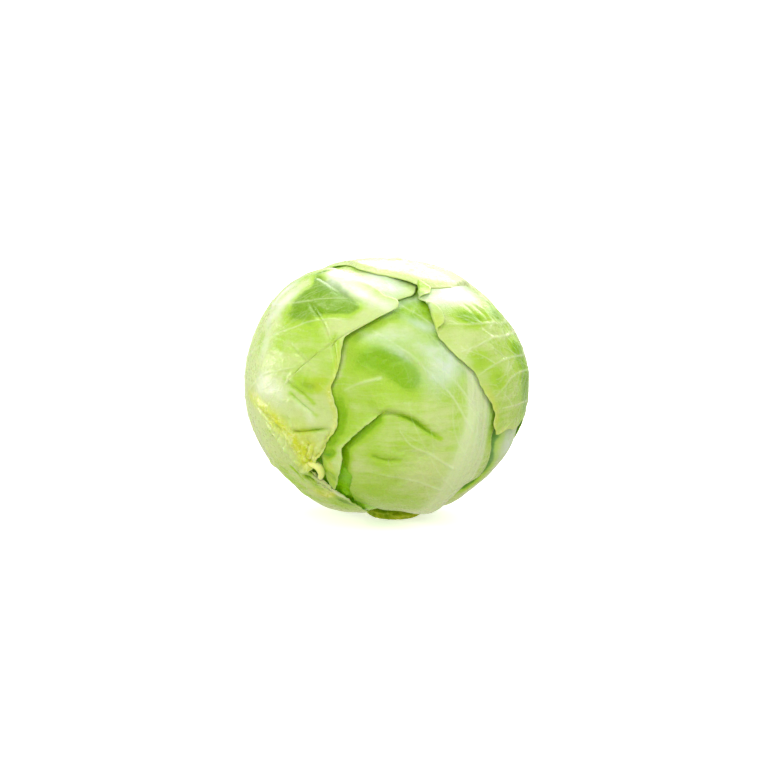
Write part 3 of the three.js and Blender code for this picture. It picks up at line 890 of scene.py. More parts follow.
def buildLeaf(leaf):
    prepareLeaf(leaf)
    leaf["ribLine"] = polyline(leaf["rib"])
    share, turn, low, quads = discGrid(leaf["cells"], bool(leaf.get("tear")))
    bearing, reach, lift = placeOnLeaf(leaf, share, turn, low)
    spots = flatPlace(bearing, reach)
    edge = leaf["edge"](leaf["start"] + np.minimum(np.where(low, 360, turn), 359.99))
    fromEdge = edge - reach
    folded, hemRise = rollHem(leaf, bearing, reach, edge)
    d = towards(leaf, bearing, folded)
    depth, shown = pressed(d)

    distance, along, side = alongLine(spots, leaf["ribLine"])
    ribWidth = leaf["ribWidth"][0] + (leaf["ribWidth"][1] - leaf["ribWidth"][0]) * along
    rib = np.exp(-(distance / ribWidth) ** 2) * (1 - along ** 3 * 0.85)
    veins = growVeins(leaf, np.random.default_rng(leaf["seed"]))
    vein, halo = veinField(spots, veins)

    height = creaseHeight(spots, leaf)
    height += gaussians(spots, leaf.get("bumps", [])) + strokes(spots, leaf, "height")
    height += wrinkleHeight(spots, leaf, np.random.default_rng(leaf["seed"] + 50))
    if leaf.get("press"):
        height += aroundLeaf(leaf["press"], bearing) * (1 - smoothstep(fromEdge, 0, marginSpans["press"]))
    wavy = 0.5 + 0.5 * np.sin(np.radians(bearing * (leaf["lobes"] + 2) + 40))
    rimLift = aroundLeaf(leaf["rim"], bearing) * (0.55 + 0.45 * wavy)
    rimLift *= 1 - smoothstep(fromEdge, 0, leaf["rimWidth"])
    dipAndShade, lip = tearMarks(leaf, spots, turn, low)

    full = smoothstep(fromEdge, 0, marginSpans["thin"])
    thick = leaf["thick"] * (marginThickness + (1 - marginThickness) * full)
    free = np.maximum(shown, gaussians(spots, leaf.get("free", [])))
    radius = headRadius(d) - depth + height * free + rimLift * shown + lift
    radius += hemRise - tearLook["dip"] * dipAndShade - thick / 2
    middle = clearOfStem(headMiddle + d * radius[:, None])
    piece, out = bladeMesh(leaf["name"], middle, d, quads, thick)

    tone = leaf["tone"] + gaussians(spots, leaf.get("patches", [])) + strokes(spots, leaf, "tone")
    # painted shade: the tone goes darker where another leaf's margin lies over this one and under a torn edge
    tone -= leaf.get("shade", 0.8) * (1 - shown) ** 8 + tearLook["shadeTone"] * dipAndShade
    g = math.radians(leaf.get("grain", 0))
    grain = [spots @ [math.sin(g), math.cos(g)] * 0.3, spots @ [math.cos(g), -math.sin(g)], 0 * reach]
    fields = dict(
        out=out, shown=shown, rib=rib, vein=vein, halo=halo, tone=tone,
        ribTint=np.clip(rib + strokes(spots, leaf, "ribTint"), 0, 1),
        ribPlace=np.stack([along * 0.2, distance * side * mm, np.zeros(len(spots))], -1),
        pucker=(1 - 0.8 * rib) * (0.4 + 0.6 * smoothstep(fromEdge, 0, marginSpans["pucker"])),
        crumple=np.clip(gaussians(spots, leaf.get("crumples", [])), 0, 1),
        grain=np.stack(grain, -1) * mm,
        wilt=np.clip(strokes(spots, leaf, "wilt"), 0, 1),
        # the bloom field is wax bloom and painted highlights
        bloomAndHighlight=np.clip(gaussians(spots, leaf.get("bloomAndHighlightPatches", [])) + strokes(spots, leaf, "bloomAndHighlight"), 0, 1),
        margin=np.maximum(np.exp(-np.maximum(fromEdge, 0) / 1.6), lip),
    )
    storeMap(piece.data, np.vstack([spots, spots]))
    storeValues(piece.data, "outer", np.repeat([1.0, 0.0], len(spots)))
    for name, values in fields.items():
        storeValues(piece.data, name, np.concatenate([values, values]))
    runNodes(piece, leafRelief, {"Seed": float(leaf["seed"]), "Material": leaf["material"], **leaf["relief"]})
    stack.append(leaf)
    handOver(piece, leaf["node"])
    print("  ", leaf["name"], len(piece.data.polygons), "faces", len(veins), "veins")


# Settings of a leaf. Places on it are (bearing, reach). The outline, the rim's lift and the press on
# the margin are (bearing, mm). Creases: points, depth, width, shoulder's height, and how far back the
# shoulder goes, signed by its side. Patches of tone, bumps, blooms (wax bloom with painted highlights)
# and crumples: bearing, reach, spread, size. Wrinkles run side by side from the first guide line to the last.
relief = {"Rib height": 2.2, "Vein height": 0.5, "Pucker height": 1.5, "Pucker size": 32.0,
          "Crumple height": 1.3, "Crumple size": 7.0}
# how veins leave the midrib: the first one's place, their gap and angle, and their size
growth = dict(first=18, gap=24, angle=(0.7, 1.0), length=70, width=0.65, strength=0.55, branching=0.3)
backGrowth = {**growth, "strength": 0.9, "width": 0.8, "gap": 20, "length": 80}

print("leaves")

leafLowBackLeft = dict(
    name="leafLowBackLeft", node="leaf_low_back_left", slot="leaf_fresh",
    material=leafMaterial("leafLowBackLeft"),
    seed=21, cells=120, middle=(-135, -30), thick=0.95, lobes=10, wave=2.0, fray=0.7, tone=0.1,
    outline=[(0, 60), (30, 66), (60, 62), (95, 58), (130, 58), (158, 65), (174, 68), (188, 68), (202, 63),
             (230, 56), (265, 60), (300, 66), (330, 57)],
    rib=[(180, 67), (180, 30), (10, 1), (0, 48)], ribWidth=(8, 2.5),
    rim=[(0, 1.2), (90, 1.6), (180, 0), (270, 0.8)], rimWidth=12,
    wrinkles=[dict(first=[(200, 40), (270, 30), (330, 40)], last=[(160, 40), (90, 30), (30, 40)],
                   count=12, height=0.6, width=1.6, wander=3.0, least=0.2)],
    growth=backGrowth, relief=relief,
)
buildLeaf(leafLowBackLeft)

leafTop = dict(
    name="leafTop", node="leaf_top", slot="leaf_pale", material=leafMaterial("leafTop"),
    seed=22, cells=150, middle=(180, 30), thick=0.9, lobes=16, wave=0.6, fray=0.5, tone=1.0, shade=1.6,
    outline=[(0, 124), (12, 112), (22, 92), (38, 82), (62, 84), (90, 92), (115, 82), (135, 78), (150, 92),
             (162, 118), (171, 150), (180, 157), (189, 150), (198, 118), (210, 90), (230, 76), (260, 88),
             (292, 96), (316, 99), (330, 124), (343, 134), (352, 130)],
    rib=[(180, 156), (180, 60), (10, 1), (355, 60), (350, 112)], ribWidth=(10, 2.5),
    wrinkles=[dict(first=[(300, 80), (320, 60), (350, 70)], last=[(325, 118), (345, 120), (10, 100)],
                   count=14, height=0.5, width=1.4, wander=3.0, least=0.2)],
    rim=[(0, 0), (60, 0.5), (180, 0), (300, 0)], rimWidth=10,
    press=[(0, -1.1), (14, -1.8), (30, -2.0), (48, -0.9), (70, 0), (180, 0), (285, 0), (305, -2.0),
           (322, -3.0), (336, -1.6), (350, -1.2)],
    growth=backGrowth, relief=relief,
)
buildLeaf(leafTop)

leafLeft = dict(
    name="leafLeft", node="leaf_left", slot="leaf_fresh",
    material=leafMaterial("leafLeft", Dark=srgb(102, 148, 0), Deep=srgb(114, 158, 0),
                          Frost=srgb(236, 244, 226)),
    seed=23, cells=214, middle=(-58, -6), thick=0.95, lobes=17, wave=0.3, fray=0.55, tone=0.9, shade=0.3,
    outline=[(136, 44), (137.5, 48), (138.5, 53), (140, 58), (141.5, 60), (143.5, 63), (145.5, 70), (148, 74),
             (150, 79), (153, 84), (156, 89), (166, 96), (174, 105), (184, 105), (193, 97),
             (210, 88), (240, 93), (270, 103), (300, 108), (325, 110), (343, 110), (354, 110), (362, 109),
             (371, 109), (382, 110), (392, 112), (398, 117), (401, 114), (402, 97), (403, 78), (407, 73),
             (415, 68), (420, 64), (424, 58.5), (429, 57), (442, 58), (451, 56), (459, 51.5), (466, 49),
             (474, 47), (484, 45), (492, 42.5), (496, 41)],
    tear=dict(overFirst=False, ragged=1.4,
              over=[(8, 124), (20, 128), (30, 132), (43, 136)],
              under=[(8, 126), (14, 124), (20, 123), (30, 126), (36, 131), (44, 134)],
              lift=[(0, 0), (10, 1.9), (20, 2.8), (44, 4.4)], shadow=1.5),
    rib=[(180, 104), (205, 70), (235, 45), (285, 40), (325, 62), (335, 95)], ribWidth=(9, 2.2), grain=128,
    veins=[[(306, 50), (328, 43), (352, 48), (12, 57), (21, 67), (29, 76), (36, 83)],
           [(278, 40), (316, 23), (0, 26), (28, 35), (39, 44)],
           [(331, 78), (341, 70), (2, 72), (12, 79), (19, 86), (24, 92)]],
    creases=[([(8, 78), (13, 75), (28, 72), (41, 69), (57, 65)], 0.8, 1.1, 0.8, 9),
             ([(354, 95), (3, 94), (13, 93), (22, 93), (31, 97), (39, 104)], 1.0, 1.4, 1.3, 9),
             ([(16, 50), (35, 50), (52, 53)], 0.9, 1.1, 0.7, -8),
             ([(38, 33), (61, 40), (72, 45)], 1.0, 1.1, 0.8, 8),
             ([(54, 32), (71, 38), (82, 45)], 1.0, 1.1, 0.7, -7),
             ([(36, 75), (45, 70), (54, 66), (61, 63)], 1.0, 1.1, 0.3, 4),
             ([(101, 24), (99, 28), (96, 35), (93, 44), (92, 55)], 1.9, 1.3, 2.0, 8),
             ([(154, 31), (152, 37), (155, 44)], 1.2, 0.9, 0.9, 4),
             ([(148, 42), (142, 45), (144, 49)], 1.2, 0.9, 0.8, 4)],
    wrinkles=[dict(first=[(320, 22), (25, 9), (80, 17), (98, 27), (126, 37)],
                   last=[(287, 20), (323, 3), (114, 13), (127, 23), (131, 35)],
                   count=11, height=1.1, width=1.0, wander=1.2, least=0.35),
              dict(first=[(97, 34), (112, 36), (127, 39)], last=[(93, 54), (108, 48), (124, 42)],
                   count=7, height=1.2, width=1.0, wander=0.8, least=0.6),
              dict(first=[(345, 85), (20, 75), (42, 62)], last=[(300, 30), (60, 25), (90, 40)],
                   count=16, height=0.35, width=1.5, wander=2.5, least=0.2),
              dict(first=[(240, 30), (200, 20), (165, 30), (152, 48)],
                   last=[(225, 70), (190, 60), (170, 62), (160, 80)],
                   count=14, height=0.8, width=1.4, wander=2.5, least=0.25)],
    strokes=dict(
        # bloom marks: partly wax bloom, partly painted highlights
        bloomAndHighlight=[([(6, 97), (20, 99), (32, 104), (39, 110)], 5, 1.0), ([(354, 80), (350, 68), (345, 58)], 6, 0.8),
               ([(340, 12), (10, 20), (40, 24)], 8, 0.8), ([(348, 46), (350, 38)], 5, 0.5),
               ([(1, 101), (12, 107), (24, 112)], 4, 1.0), ([(340, 72), (340, 80), (345, 86)], 4.5, 1.1),
               ([(66, 34), (74, 40), (84, 41)], 3, 0.4), ([(142, 61), (145, 66), (144, 72)], 1.6, 0.8)],
        # the narrow tone marks along the creases, between the curled rims and under the top leaf's margin are
        # painted shade; the broad deep ones are the leaf's own darker green
        tone=[([(356, 95), (2, 91), (8, 87)], 4, -2.6), ([(8, 88), (4, 76), (5, 67)], 8, -2.4),
              ([(8, 92), (20, 90), (31, 92)], 6, -2.4), ([(13, 72), (21, 79), (31, 87)], 6, -2.2),
              ([(353, 99), (355, 104)], 2.2, -3.5), ([(345, 88), (351, 96), (353, 101)], 5, -1.0),
              ([(3, 104), (12, 105), (24, 109)], 1.5, -1.6), ([(12, 62), (22, 66), (34, 66)], 6, -0.8),
              ([(2, 50), (12, 45)], 6, -0.6), ([(141, 36), (149, 53), (157, 73)], 4, -0.9),
              ([(61, 54), (59, 47), (49, 40)], 4, -1.2), ([(38, 33), (61, 40), (72, 45)], 1.3, -0.9),
              ([(54, 32), (71, 38), (82, 45)], 1.3, -0.9), ([(40, 73), (48, 70), (60, 64)], 3, -0.9),
              ([(149, 65), (150, 71), (150, 78)], 3, -1.6), ([(154, 33), (152, 37), (155, 43)], 1.6, -1.6),
              ([(148, 43), (142, 45), (144, 48)], 1.8, -1.6), ([(99, 29), (94, 40), (92, 50)], 2.2, -1.0)],
        wilt=[([(64, 55), (57, 50)], 6, 0.5),
              ([(292, 27), (332, 10), (58, 8), (94, 18), (104, 25), (115, 33), (127, 40)], 5, 1.1),
              ([(95, 34), (110, 40), (122, 42)], 6, 0.8),
              ([(47, 72), (60, 63), (69, 56), (82, 57), (91, 55), (99, 51), (114, 47), (128, 43)], 2.0, 0.9),
              ([(155, 56), (152, 59), (147, 61)], 4, 1.7)]),
    crumples=[(106, 18, 10, 0.5), (115, 32, 12, 0.8), (124, 43, 10, 0.8), (55, 5, 10, 0.4), (150, 52, 14, 0.4),
              (170, 40, 22, 0.4), (80, 45, 16, 0.2), (310, 20, 20, 0.2)],
    patches=[(14, 83, 12, -1.9), (52, 66, 12, -0.5), (166, 19, 22, 0.2), (168, 32, 16, -0.1),
             (177, 50, 20, -0.5), (150, 76, 14, -0.4), (61, 51, 10, -0.3), (30, 55, 16, -0.5),
             (343, 45, 8, -0.6)],
    bumps=[(20, 30, 18, 0.9), (350, 66, 14, 0.9), (60, 48, 10, 0.8)],
    rim=[(0, 0.2), (60, 0.4), (84, 0.35), (110, 0.6), (130, 0.8), (180, 0), (270, 0.5), (340, 0)], rimWidth=9,
    growth={**growth, "first": 60, "angle": (0.8, 1.1)}, relief=relief,
)
buildLeaf(leafLeft)


# a flattened tube swept along a path
def curlTree():
    tree = bpy.data.node_groups.new("curlSweep", "GeometryNodeTree")
    face = tree.interface
    face.new_socket(name="Geometry", in_out="INPUT", socket_type="NodeSocketGeometry")
    for name in ("Width", "Flatness"):
        face.new_socket(name=name, in_out="INPUT", socket_type="NodeSocketFloat").default_value = 1.0
    face.new_socket(name="Material", in_out="INPUT", socket_type="NodeSocketMaterial")
    face.new_socket(name="Geometry", in_out="OUTPUT", socket_type="NodeSocketGeometry")
    inputs = tree.nodes.new("NodeGroupInput").outputs
    girth = addNode(tree, "GeometryNodeInputNamedAttribute", {"Name": "girth"}, data_type="FLOAT")
    girth = next(s for s in girth.outputs if s.enabled and s.name == "Attribute")
    path = addNode(tree, "GeometryNodeMeshToCurve", {"Mesh": inputs["Geometry"]}).outputs[0]
    size = times(tree, times(tree, girth, inputs["Width"]), 0.5 * mm)
    ring = addNode(tree, "GeometryNodeCurvePrimitiveCircle", {"Resolution": 18, "Radius": 1.0}).outputs[0]
    squash = addNode(tree, "ShaderNodeCombineXYZ", {0: 1.0, 1: inputs["Flatness"], 2: 1.0}).outputs[0]
    ring = addNode(tree, "GeometryNodeTransform", {"Geometry": ring, "Scale": squash}).outputs[0]
    swept = addNode(tree, "GeometryNodeCurveToMesh",
                    {"Curve": path, "Profile Curve": ring, "Scale": size, "Fill Caps": True}).outputs[0]
    real = addNode(tree, "GeometryNodeRealizeInstances", {"Geometry": swept}).outputs[0]
    dressed = addNode(tree, "GeometryNodeSetMaterial", {"Geometry": real, "Material": inputs["Material"]})
    addNode(tree, "NodeGroupOutput", {0: dressed.outputs[0]})
    return tree


curlSweep = curlTree()


# narrow rolled ends of a margin: each a path of (bearing, reach, height) with a width
def buildCurls(name, leaf, material, slot, flatness, curls):
    points, girth, edges = [], [], []
    for path in curls:
        knots = np.array(path["path"], float)
        line = polyline(knots[:, :2], 1.0)
        share = np.linspace(0, 1, len(line))
        height = np.interp(share, np.linspace(0, 1, len(knots)), knots[:, 2])
        reach = np.hypot(line[:, 0], line[:, 1])
        bearing = np.degrees(np.arctan2(line[:, 0], line[:, 1]))
        d = towards(leaf, bearing, reach)
        first = len(points)
        points += list(headMiddle + d * (headRadius(d) + height)[:, None])
        girth += list(path["width"] * np.sqrt(1 - ((share - 0.62) / 0.64) ** 2))
        edges += [(k, k + 1) for k in range(first, len(points) - 1)]
    mesh = bpy.data.meshes.new(name)
    mesh.from_pydata([tuple(p * mm) for p in points], edges, [])
    storeValues(mesh, "girth", np.array(girth))
    piece = bpy.data.objects.new(name, mesh)
    bpy.context.scene.collection.objects.link(piece)
    runNodes(piece, curlSweep, {"Width": 1.0, "Flatness": flatness, "Material": material})
    mesh = piece.data
    mesh.polygons.foreach_set("use_smooth", np.ones(len(mesh.polygons), bool))
    where = np.empty(len(mesh.vertices) * 3)
    mesh.vertices.foreach_get("co", where)
    where = where.reshape(-1, 3)
    if not mesh.uv_layers:
        storeMap(mesh, where[:, [0, 2]] / mm)
    handOver(piece, leaf["node"])
    print("  ", name, len(mesh.polygons), "faces")


driedTip = leafMaterial("driedTip", Deep=srgb(214, 222, 110), Fresh=srgb(224, 230, 136),
                        Pale=srgb(234, 238, 168))
curlSettings = dict(
    name="leafLeftCurls", leaf=leafLeft, material=driedTip, slot="leaf_fresh", flatness=0.6,
    curls=[dict(path=[(126, 39, 0.2), (125, 43, 1.0), (124, 47, 1.6), (128, 50, 1.8), (132, 50, 1.4)],
                width=7.4)],
)
buildCurls(**curlSettings)

leafLowBackRight = dict(
    name="leafLowBackRight", node="leaf_low_back_right", slot="leaf_pale",
    material=leafMaterial("leafLowBackRight"),
    seed=24, cells=120, middle=(130, -25), thick=0.95, lobes=9, wave=1.8, fray=0.7, tone=0.3,
    outline=[(0, 52), (40, 60), (80, 62), (115, 60), (145, 66), (168, 75), (180, 76), (192, 74), (215, 62),
             (245, 55), (280, 57), (320, 53)],
    rib=[(180, 75), (180, 30), (10, 1), (0, 44)], ribWidth=(8, 2.5),
    rim=[(0, 1.2), (90, 1.4), (180, 0), (270, 0.8)], rimWidth=12,
    wrinkles=[dict(first=[(200, 40), (270, 30), (330, 36)], last=[(160, 40), (90, 32), (30, 40)],
                   count=12, height=0.6, width=1.6, wander=3.0, least=0.2)],
    growth=backGrowth, relief=relief,
)
buildLeaf(leafLowBackRight)

leafRight = dict(
    name="leafRight", node="leaf_right", slot="leaf_fresh",
    material=leafMaterial("leafRight", White=srgb(232, 238, 202)),
    seed=25, cells=170, middle=(85, 14), thick=0.9, lobes=15, wave=0.6, fray=0.6, tone=0.6,
    outline=[(0, 94), (25, 90), (55, 87), (85, 86), (110, 86), (132, 90), (148, 102), (158, 118), (166, 133),
             (173, 133), (178, 108), (184, 62), (190, 42), (203, 38), (213, 41), (222, 49), (233, 58),
             (238, 67), (245, 66), (250, 62.5), (260, 65), (268, 67), (278, 71), (285, 78), (292, 84),
             (296, 87), (300, 90), (303, 94.5), (306, 97.5), (310, 97), (314, 94), (316.5, 91.5), (318, 95),
             (320, 98), (323, 103), (327, 103.5), (330, 101), (334, 96), (342, 94)],
    hem=dict(width=[(182, 0), (296, 0), (300, 1.5), (303, 6), (306, 8.5), (310, 8), (314, 5.5), (316.5, 1),
                    (318, 1), (320, 4), (323, 9), (327, 9.5), (330, 7), (334, 2), (338, 0), (542, 0)],
             bow=0.9, stand=0.03),
    rib=[(170, 132), (160, 100), (130, 55), (90, 35), (40, 45), (15, 80)], ribWidth=(9, 2.2),
    veins=[[(35, 47), (10, 33), (330, 31), (311, 49), (305, 67), (304, 80)],
           [(60, 38), (28, 20), (311, 30), (298, 50), (291, 66), (289, 76)],
           [(88, 35), (60, 12), (289, 14), (282, 40), (278, 58), (275, 69)],
           [(112, 42), (140, 14), (250, 14), (266, 38), (263, 49), (260, 59)],
           [(130, 55), (165, 30), (212, 28), (240, 42), (250, 56)]],
    patches=[(330, 40, 10, -1.8), (310, 64, 7, -1.4), (290, 24, 8, -2.0), (244, 22, 10, -2.2),
             (284, 64, 6, -1.0), (350, 60, 12, -0.9), (270, 54, 6, -1.0), (215, 30, 9, -1.4)],
    strokes=dict(
        # bloom mark: wax bloom with a painted highlight
        bloomAndHighlight=[([(318, 88), (326, 76), (338, 66), (352, 58)], 10, 1.1)],
        wilt=[([(300, 88), (306, 93)], 5, 0.4),
              ([(268, 66), (258, 63), (248, 63), (239, 67), (225, 52)], 2.5, 0.8)],
        tone=[([(311, 75), (310, 66), (313, 52)], 4, -1.4)]),
    wrinkles=[dict(first=[(320, 80), (300, 60), (270, 40)], last=[(350, 50), (300, 10), (220, 30)],
                   count=12, height=0.6, width=1.4, wander=2.5, least=0.2)],
    bumps=[(345, 38, 10, 1.0), (300, 20, 7, 1.8), (250, 16, 7, 2.0), (262, 48, 10, 0.8), (8, 52, 9, 1.6)],
    rim=[(0, 0), (90, 0.5), (180, 0), (205, 0.1), (220, 0.7), (245, 0.5), (290, 0.2)], rimWidth=8,
    growth={**growth, "strength": 0.8, "width": 0.75, "branching": 0.4}, relief=relief,
)
buildLeaf(leafRight)

leafCrown = dict(
    name="leafCrown", node="leaf_crown", slot="leaf_pale", material=leafMaterial("leafCrown"),
    seed=26, cells=120, middle=(-72, 52), thick=0.9, lobes=10, wave=1.0, fray=0.5, tone=0.8, shade=0.3,
    # blooms: painted highlights with wax bloom on the pale crown
    bloomAndHighlightPatches=[(52, 60, 14, 0.8), (38, 50, 14, 0.7)],
    outline=[(0, 55), (20, 60), (35, 74), (48, 75), (58, 70), (70, 64), (85, 60), (100, 60), (115, 66),
             (130, 80), (145, 92), (158, 110), (168, 145), (175, 178), (180, 186), (188, 178), (195, 145),
             (205, 100), (225, 75), (260, 62), (310, 55)],
    rib=[(180, 180), (180, 60), (10, 1), (30, 60)], ribWidth=(8, 2),
    wrinkles=[dict(first=[(20, 40), (40, 50), (52, 66)], last=[(60, 20), (60, 40), (66, 60)],
                   count=9, height=0.7, width=1.1, wander=2.0, least=0.25)],
    rim=[(0, 0), (90, 0.3), (180, 0), (270, 0.3)], rimWidth=8,
    growth=growth, relief=relief,
)
buildLeaf(leafCrown)

leafFront = dict(
    name="leafFront", node="leaf_front", slot="leaf_fresh",
    material=leafMaterial("leafFront", Frost=srgb(204, 221, 198)),
    seed=27, cells=214, middle=(-1, 2), thick=1.0, lobes=13, wave=0.4, fray=0.5, tone=0.3, fade=6, shade=0.9,
    groove=[(0, 0), (98, 0), (112, 1.6), (130, 2.6), (150, 2.0), (166, 0.6), (180, 0), (300, 0)],
    outline=[(207, 66), (213, 63.5), (218, 58), (224, 52), (234, 46.5), (243, 43), (252, 43.5), (265, 48),
             (300, 62), (325, 84), (345, 104),
             (360, 108), (380, 104), (400, 94), (425, 86), (450, 79), (467, 75), (480, 83), (491, 90),
             (500, 81), (510, 86), (520, 101), (529, 117), (540, 117), (547, 101), (553, 87), (560, 80),
             (567, 77)],
    tear=dict(overFirst=True, ragged=0.3,
              over=[(8, 233), (20, 231), (34, 228), (41, 219), (51, 214), (65, 211)],
              under=[(8, 231), (16, 233), (26, 236), (34, 235), (42, 222), (50, 205), (64, 203), (77, 198)],
              lift=[(0, 0), (10, 1.8), (30, 2.8), (41, 3.6), (51, 3.9), (66, 3.4)], shadow=4.0),
    rib=[(167, 115), (157, 94), (146, 79), (132, 66), (116, 59), (97, 57), (82, 58), (60, 66), (42, 84)],
    ribWidth=(15, 5),
    veins=[[(106, 55), (81, 41), (53, 34), (24, 36), (10, 39), (350, 50)],
           [(89, 54), (72, 46), (57, 42), (38, 38)],
           [(133, 58), (136, 39), (145, 26), (145, 15)],
           [(148, 68), (158, 51), (176, 43), (193, 41)],
           [(352, 19), (315, 22), (295, 27)],
           [(75, 57), (45, 58), (20, 64), (5, 75)]],
    creases=[([(230, 8), (150, 2), (109, 9), (111, 18), (117, 27), (119, 40)], 1.8, 1.3, 3.2, 13),
             ([(198, 29), (183, 31), (164, 33), (154, 36)], 1.2, 1.6, 0.9, 8),
             ([(238, 46), (229, 44), (226, 36)], 1.1, 1.1, 1.1, 5)],
    wrinkles=[dict(first=[(300, 40), (0, 20), (60, 30)], last=[(330, 80), (10, 75), (50, 66)],
                   count=12, height=0.5, width=1.5, wander=2.5, least=0.2),
              dict(first=[(215, 20), (150, 20), (120, 40)], last=[(190, 60), (165, 60), (150, 66)],
                   count=8, height=0.5, width=1.8, wander=2.5, least=0.25)],
    strokes=dict(
        wilt=[([(213, 62), (219, 55), (224, 52)], 2, 0.5), ([(228, 49), (222, 49), (217, 52)], 2.0, 0.5)],
        height=[([(233, 50), (226, 47), (219, 44)], 1.6, 1.3)],
        # the narrow dark tone marks along the creases, in the folded flap and along the left leaf's margin are
        # painted shade, and the +1.2 mark takes part of that painted shade off again; the broad marks are the
        # leaf's own greens
        tone=[([(234, 48), (230, 46), (229, 42)], 1.8, -3.6), ([(222, 55), (218, 54), (215, 56)], 2.0, -2.4),
              ([(329, 48), (322, 42), (312, 36), (292, 34)], 4, 1.2),
              ([(264, 28), (251, 33), (242, 40)], 5, -1.6),
              ([(109, 10), (111, 18), (117, 27), (119, 38)], 1.5, -1.6),
              ([(196, 29), (183, 31), (166, 33)], 1.5, -1.2),
              ([(335, 34), (350, 31), (6, 28), (30, 25)], 9, -2.3), ([(30, 24), (50, 22)], 6, -1.5),
              ([(300, 55), (280, 47), (262, 42)], 5, 0.9)],
        # bloom marks: partly wax bloom, partly painted highlights
        bloomAndHighlight=[([(345, 46), (352, 43), (2, 46)], 5, 0.5), ([(359, 39), (12, 36), (26, 33)], 2.5, 0.5),
               ([(0, 62), (7, 73), (16, 80)], 4, 0.7), ([(11, 60), (26, 57), (36, 62)], 3.5, 0.6),
               ([(32, 43), (41, 46), (49, 49), (62, 50)], 6, 0.6)],
        ribTint=[([(72, 62), (85, 60), (100, 60), (118, 64), (133, 71), (146, 84)], 7.5, 0.9)]),
    bumps=[(223, 49, 5, 0.8), (30, 60, 16, 0.6), (330, 40, 14, 0.6)], free=[(218, 55, 8, 1.0)],
    patches=[(213, 40, 12, 0.5), (147, 51, 16, 0.5), (349, 60, 20, 0.3), (100, 35, 12, 0.4),
             (181, 14, 10, 0.3)],
    # blooms: wax bloom with painted highlights
    bloomAndHighlightPatches=[(48, 45, 13, 0.6), (15, 45, 9, 0.5), (60, 36, 9, 0.5)],
    rim=[(0, 0), (180, 0), (200, 0.8), (270, 0)], rimWidth=8,
    press=[(0, 0), (92, -0.2), (112, -1.0), (150, -1.2), (172, 0)],
    growth={**growth, "first": 30, "gap": 26}, relief=relief,
)
buildLeaf(leafFront)

# its darker greens and the dark tone stroke along its left side are painted shade under the front leaf's margin
leafLowRight = dict(
    name="leafLowRight", node="leaf_low_right", slot="leaf_pale",
    material=leafMaterial("leafLowRight", Deep=srgb(84, 146, 0), Dark=srgb(60, 124, 0)),
    seed=28, cells=80, middle=(75, -38), thick=0.95, lobes=8, wave=1.2, fray=0.7, tone=0.6,
    outline=[(0, 54), (45, 60), (90, 62), (130, 56), (165, 55), (180, 56), (195, 56), (225, 51), (255, 46),
             (285, 50), (310, 57), (335, 57)],
    # blooms: wax bloom with a painted highlight
    rib=[(180, 55), (150, 20), (60, 20), (50, 50)], ribWidth=(7, 2), bloomAndHighlightPatches=[(330, 34, 13, 0.9)],
    strokes=dict(
        tone=[([(314, 54), (305, 46), (296, 34), (278, 30), (262, 38), (250, 45), (230, 52)], 4, -3.0)]),
    rim=[(0, 0.3), (180, 0), (270, 0.3)], rimWidth=8,
    growth=growth, relief=relief,
)
buildLeaf(leafLowRight)

# its greens are painted brighter than the palette's, as painted light for the narrow gaps it shows through
leafUnderFront = dict(
    name="leafUnderFront", node="leaf_under_front", slot="leaf_deep",
    material=leafMaterial("leafUnderFront", Deep=srgb(140, 206, 0), Fresh=srgb(156, 216, 16),
                          White=srgb(170, 226, 50), Pale=srgb(176, 228, 60)),
    seed=29, cells=90, middle=(-15, -40), thick=0.95, lobes=9, wave=1.0, fray=0.6, tone=-0.7,
    outline=[(0, 45), (60, 45), (100, 45), (150, 50), (180, 53), (210, 50), (250, 45), (300, 45)],
    rib=[(180, 52), (190, 25), (10, 1), (0, 35)], ribWidth=(6, 2),
    rim=[(0, 0.2), (180, 0)], rimWidth=8,
    growth=growth, relief=relief,
)
buildLeaf(leafUnderFront)


print("heart")
# sunk under the leaves, with the steps of three inner leaves: (azimuth, height), reach, rise
heartSettings = dict(sunk=2.4, cells=46, socket=dict(radius=19.5, below=60, foot=26, rise=44),
                     edges=[((20, 35), 70, 1.4), ((-110, 20), 78, 1.4), ((140, 10), 82, 1.4)])


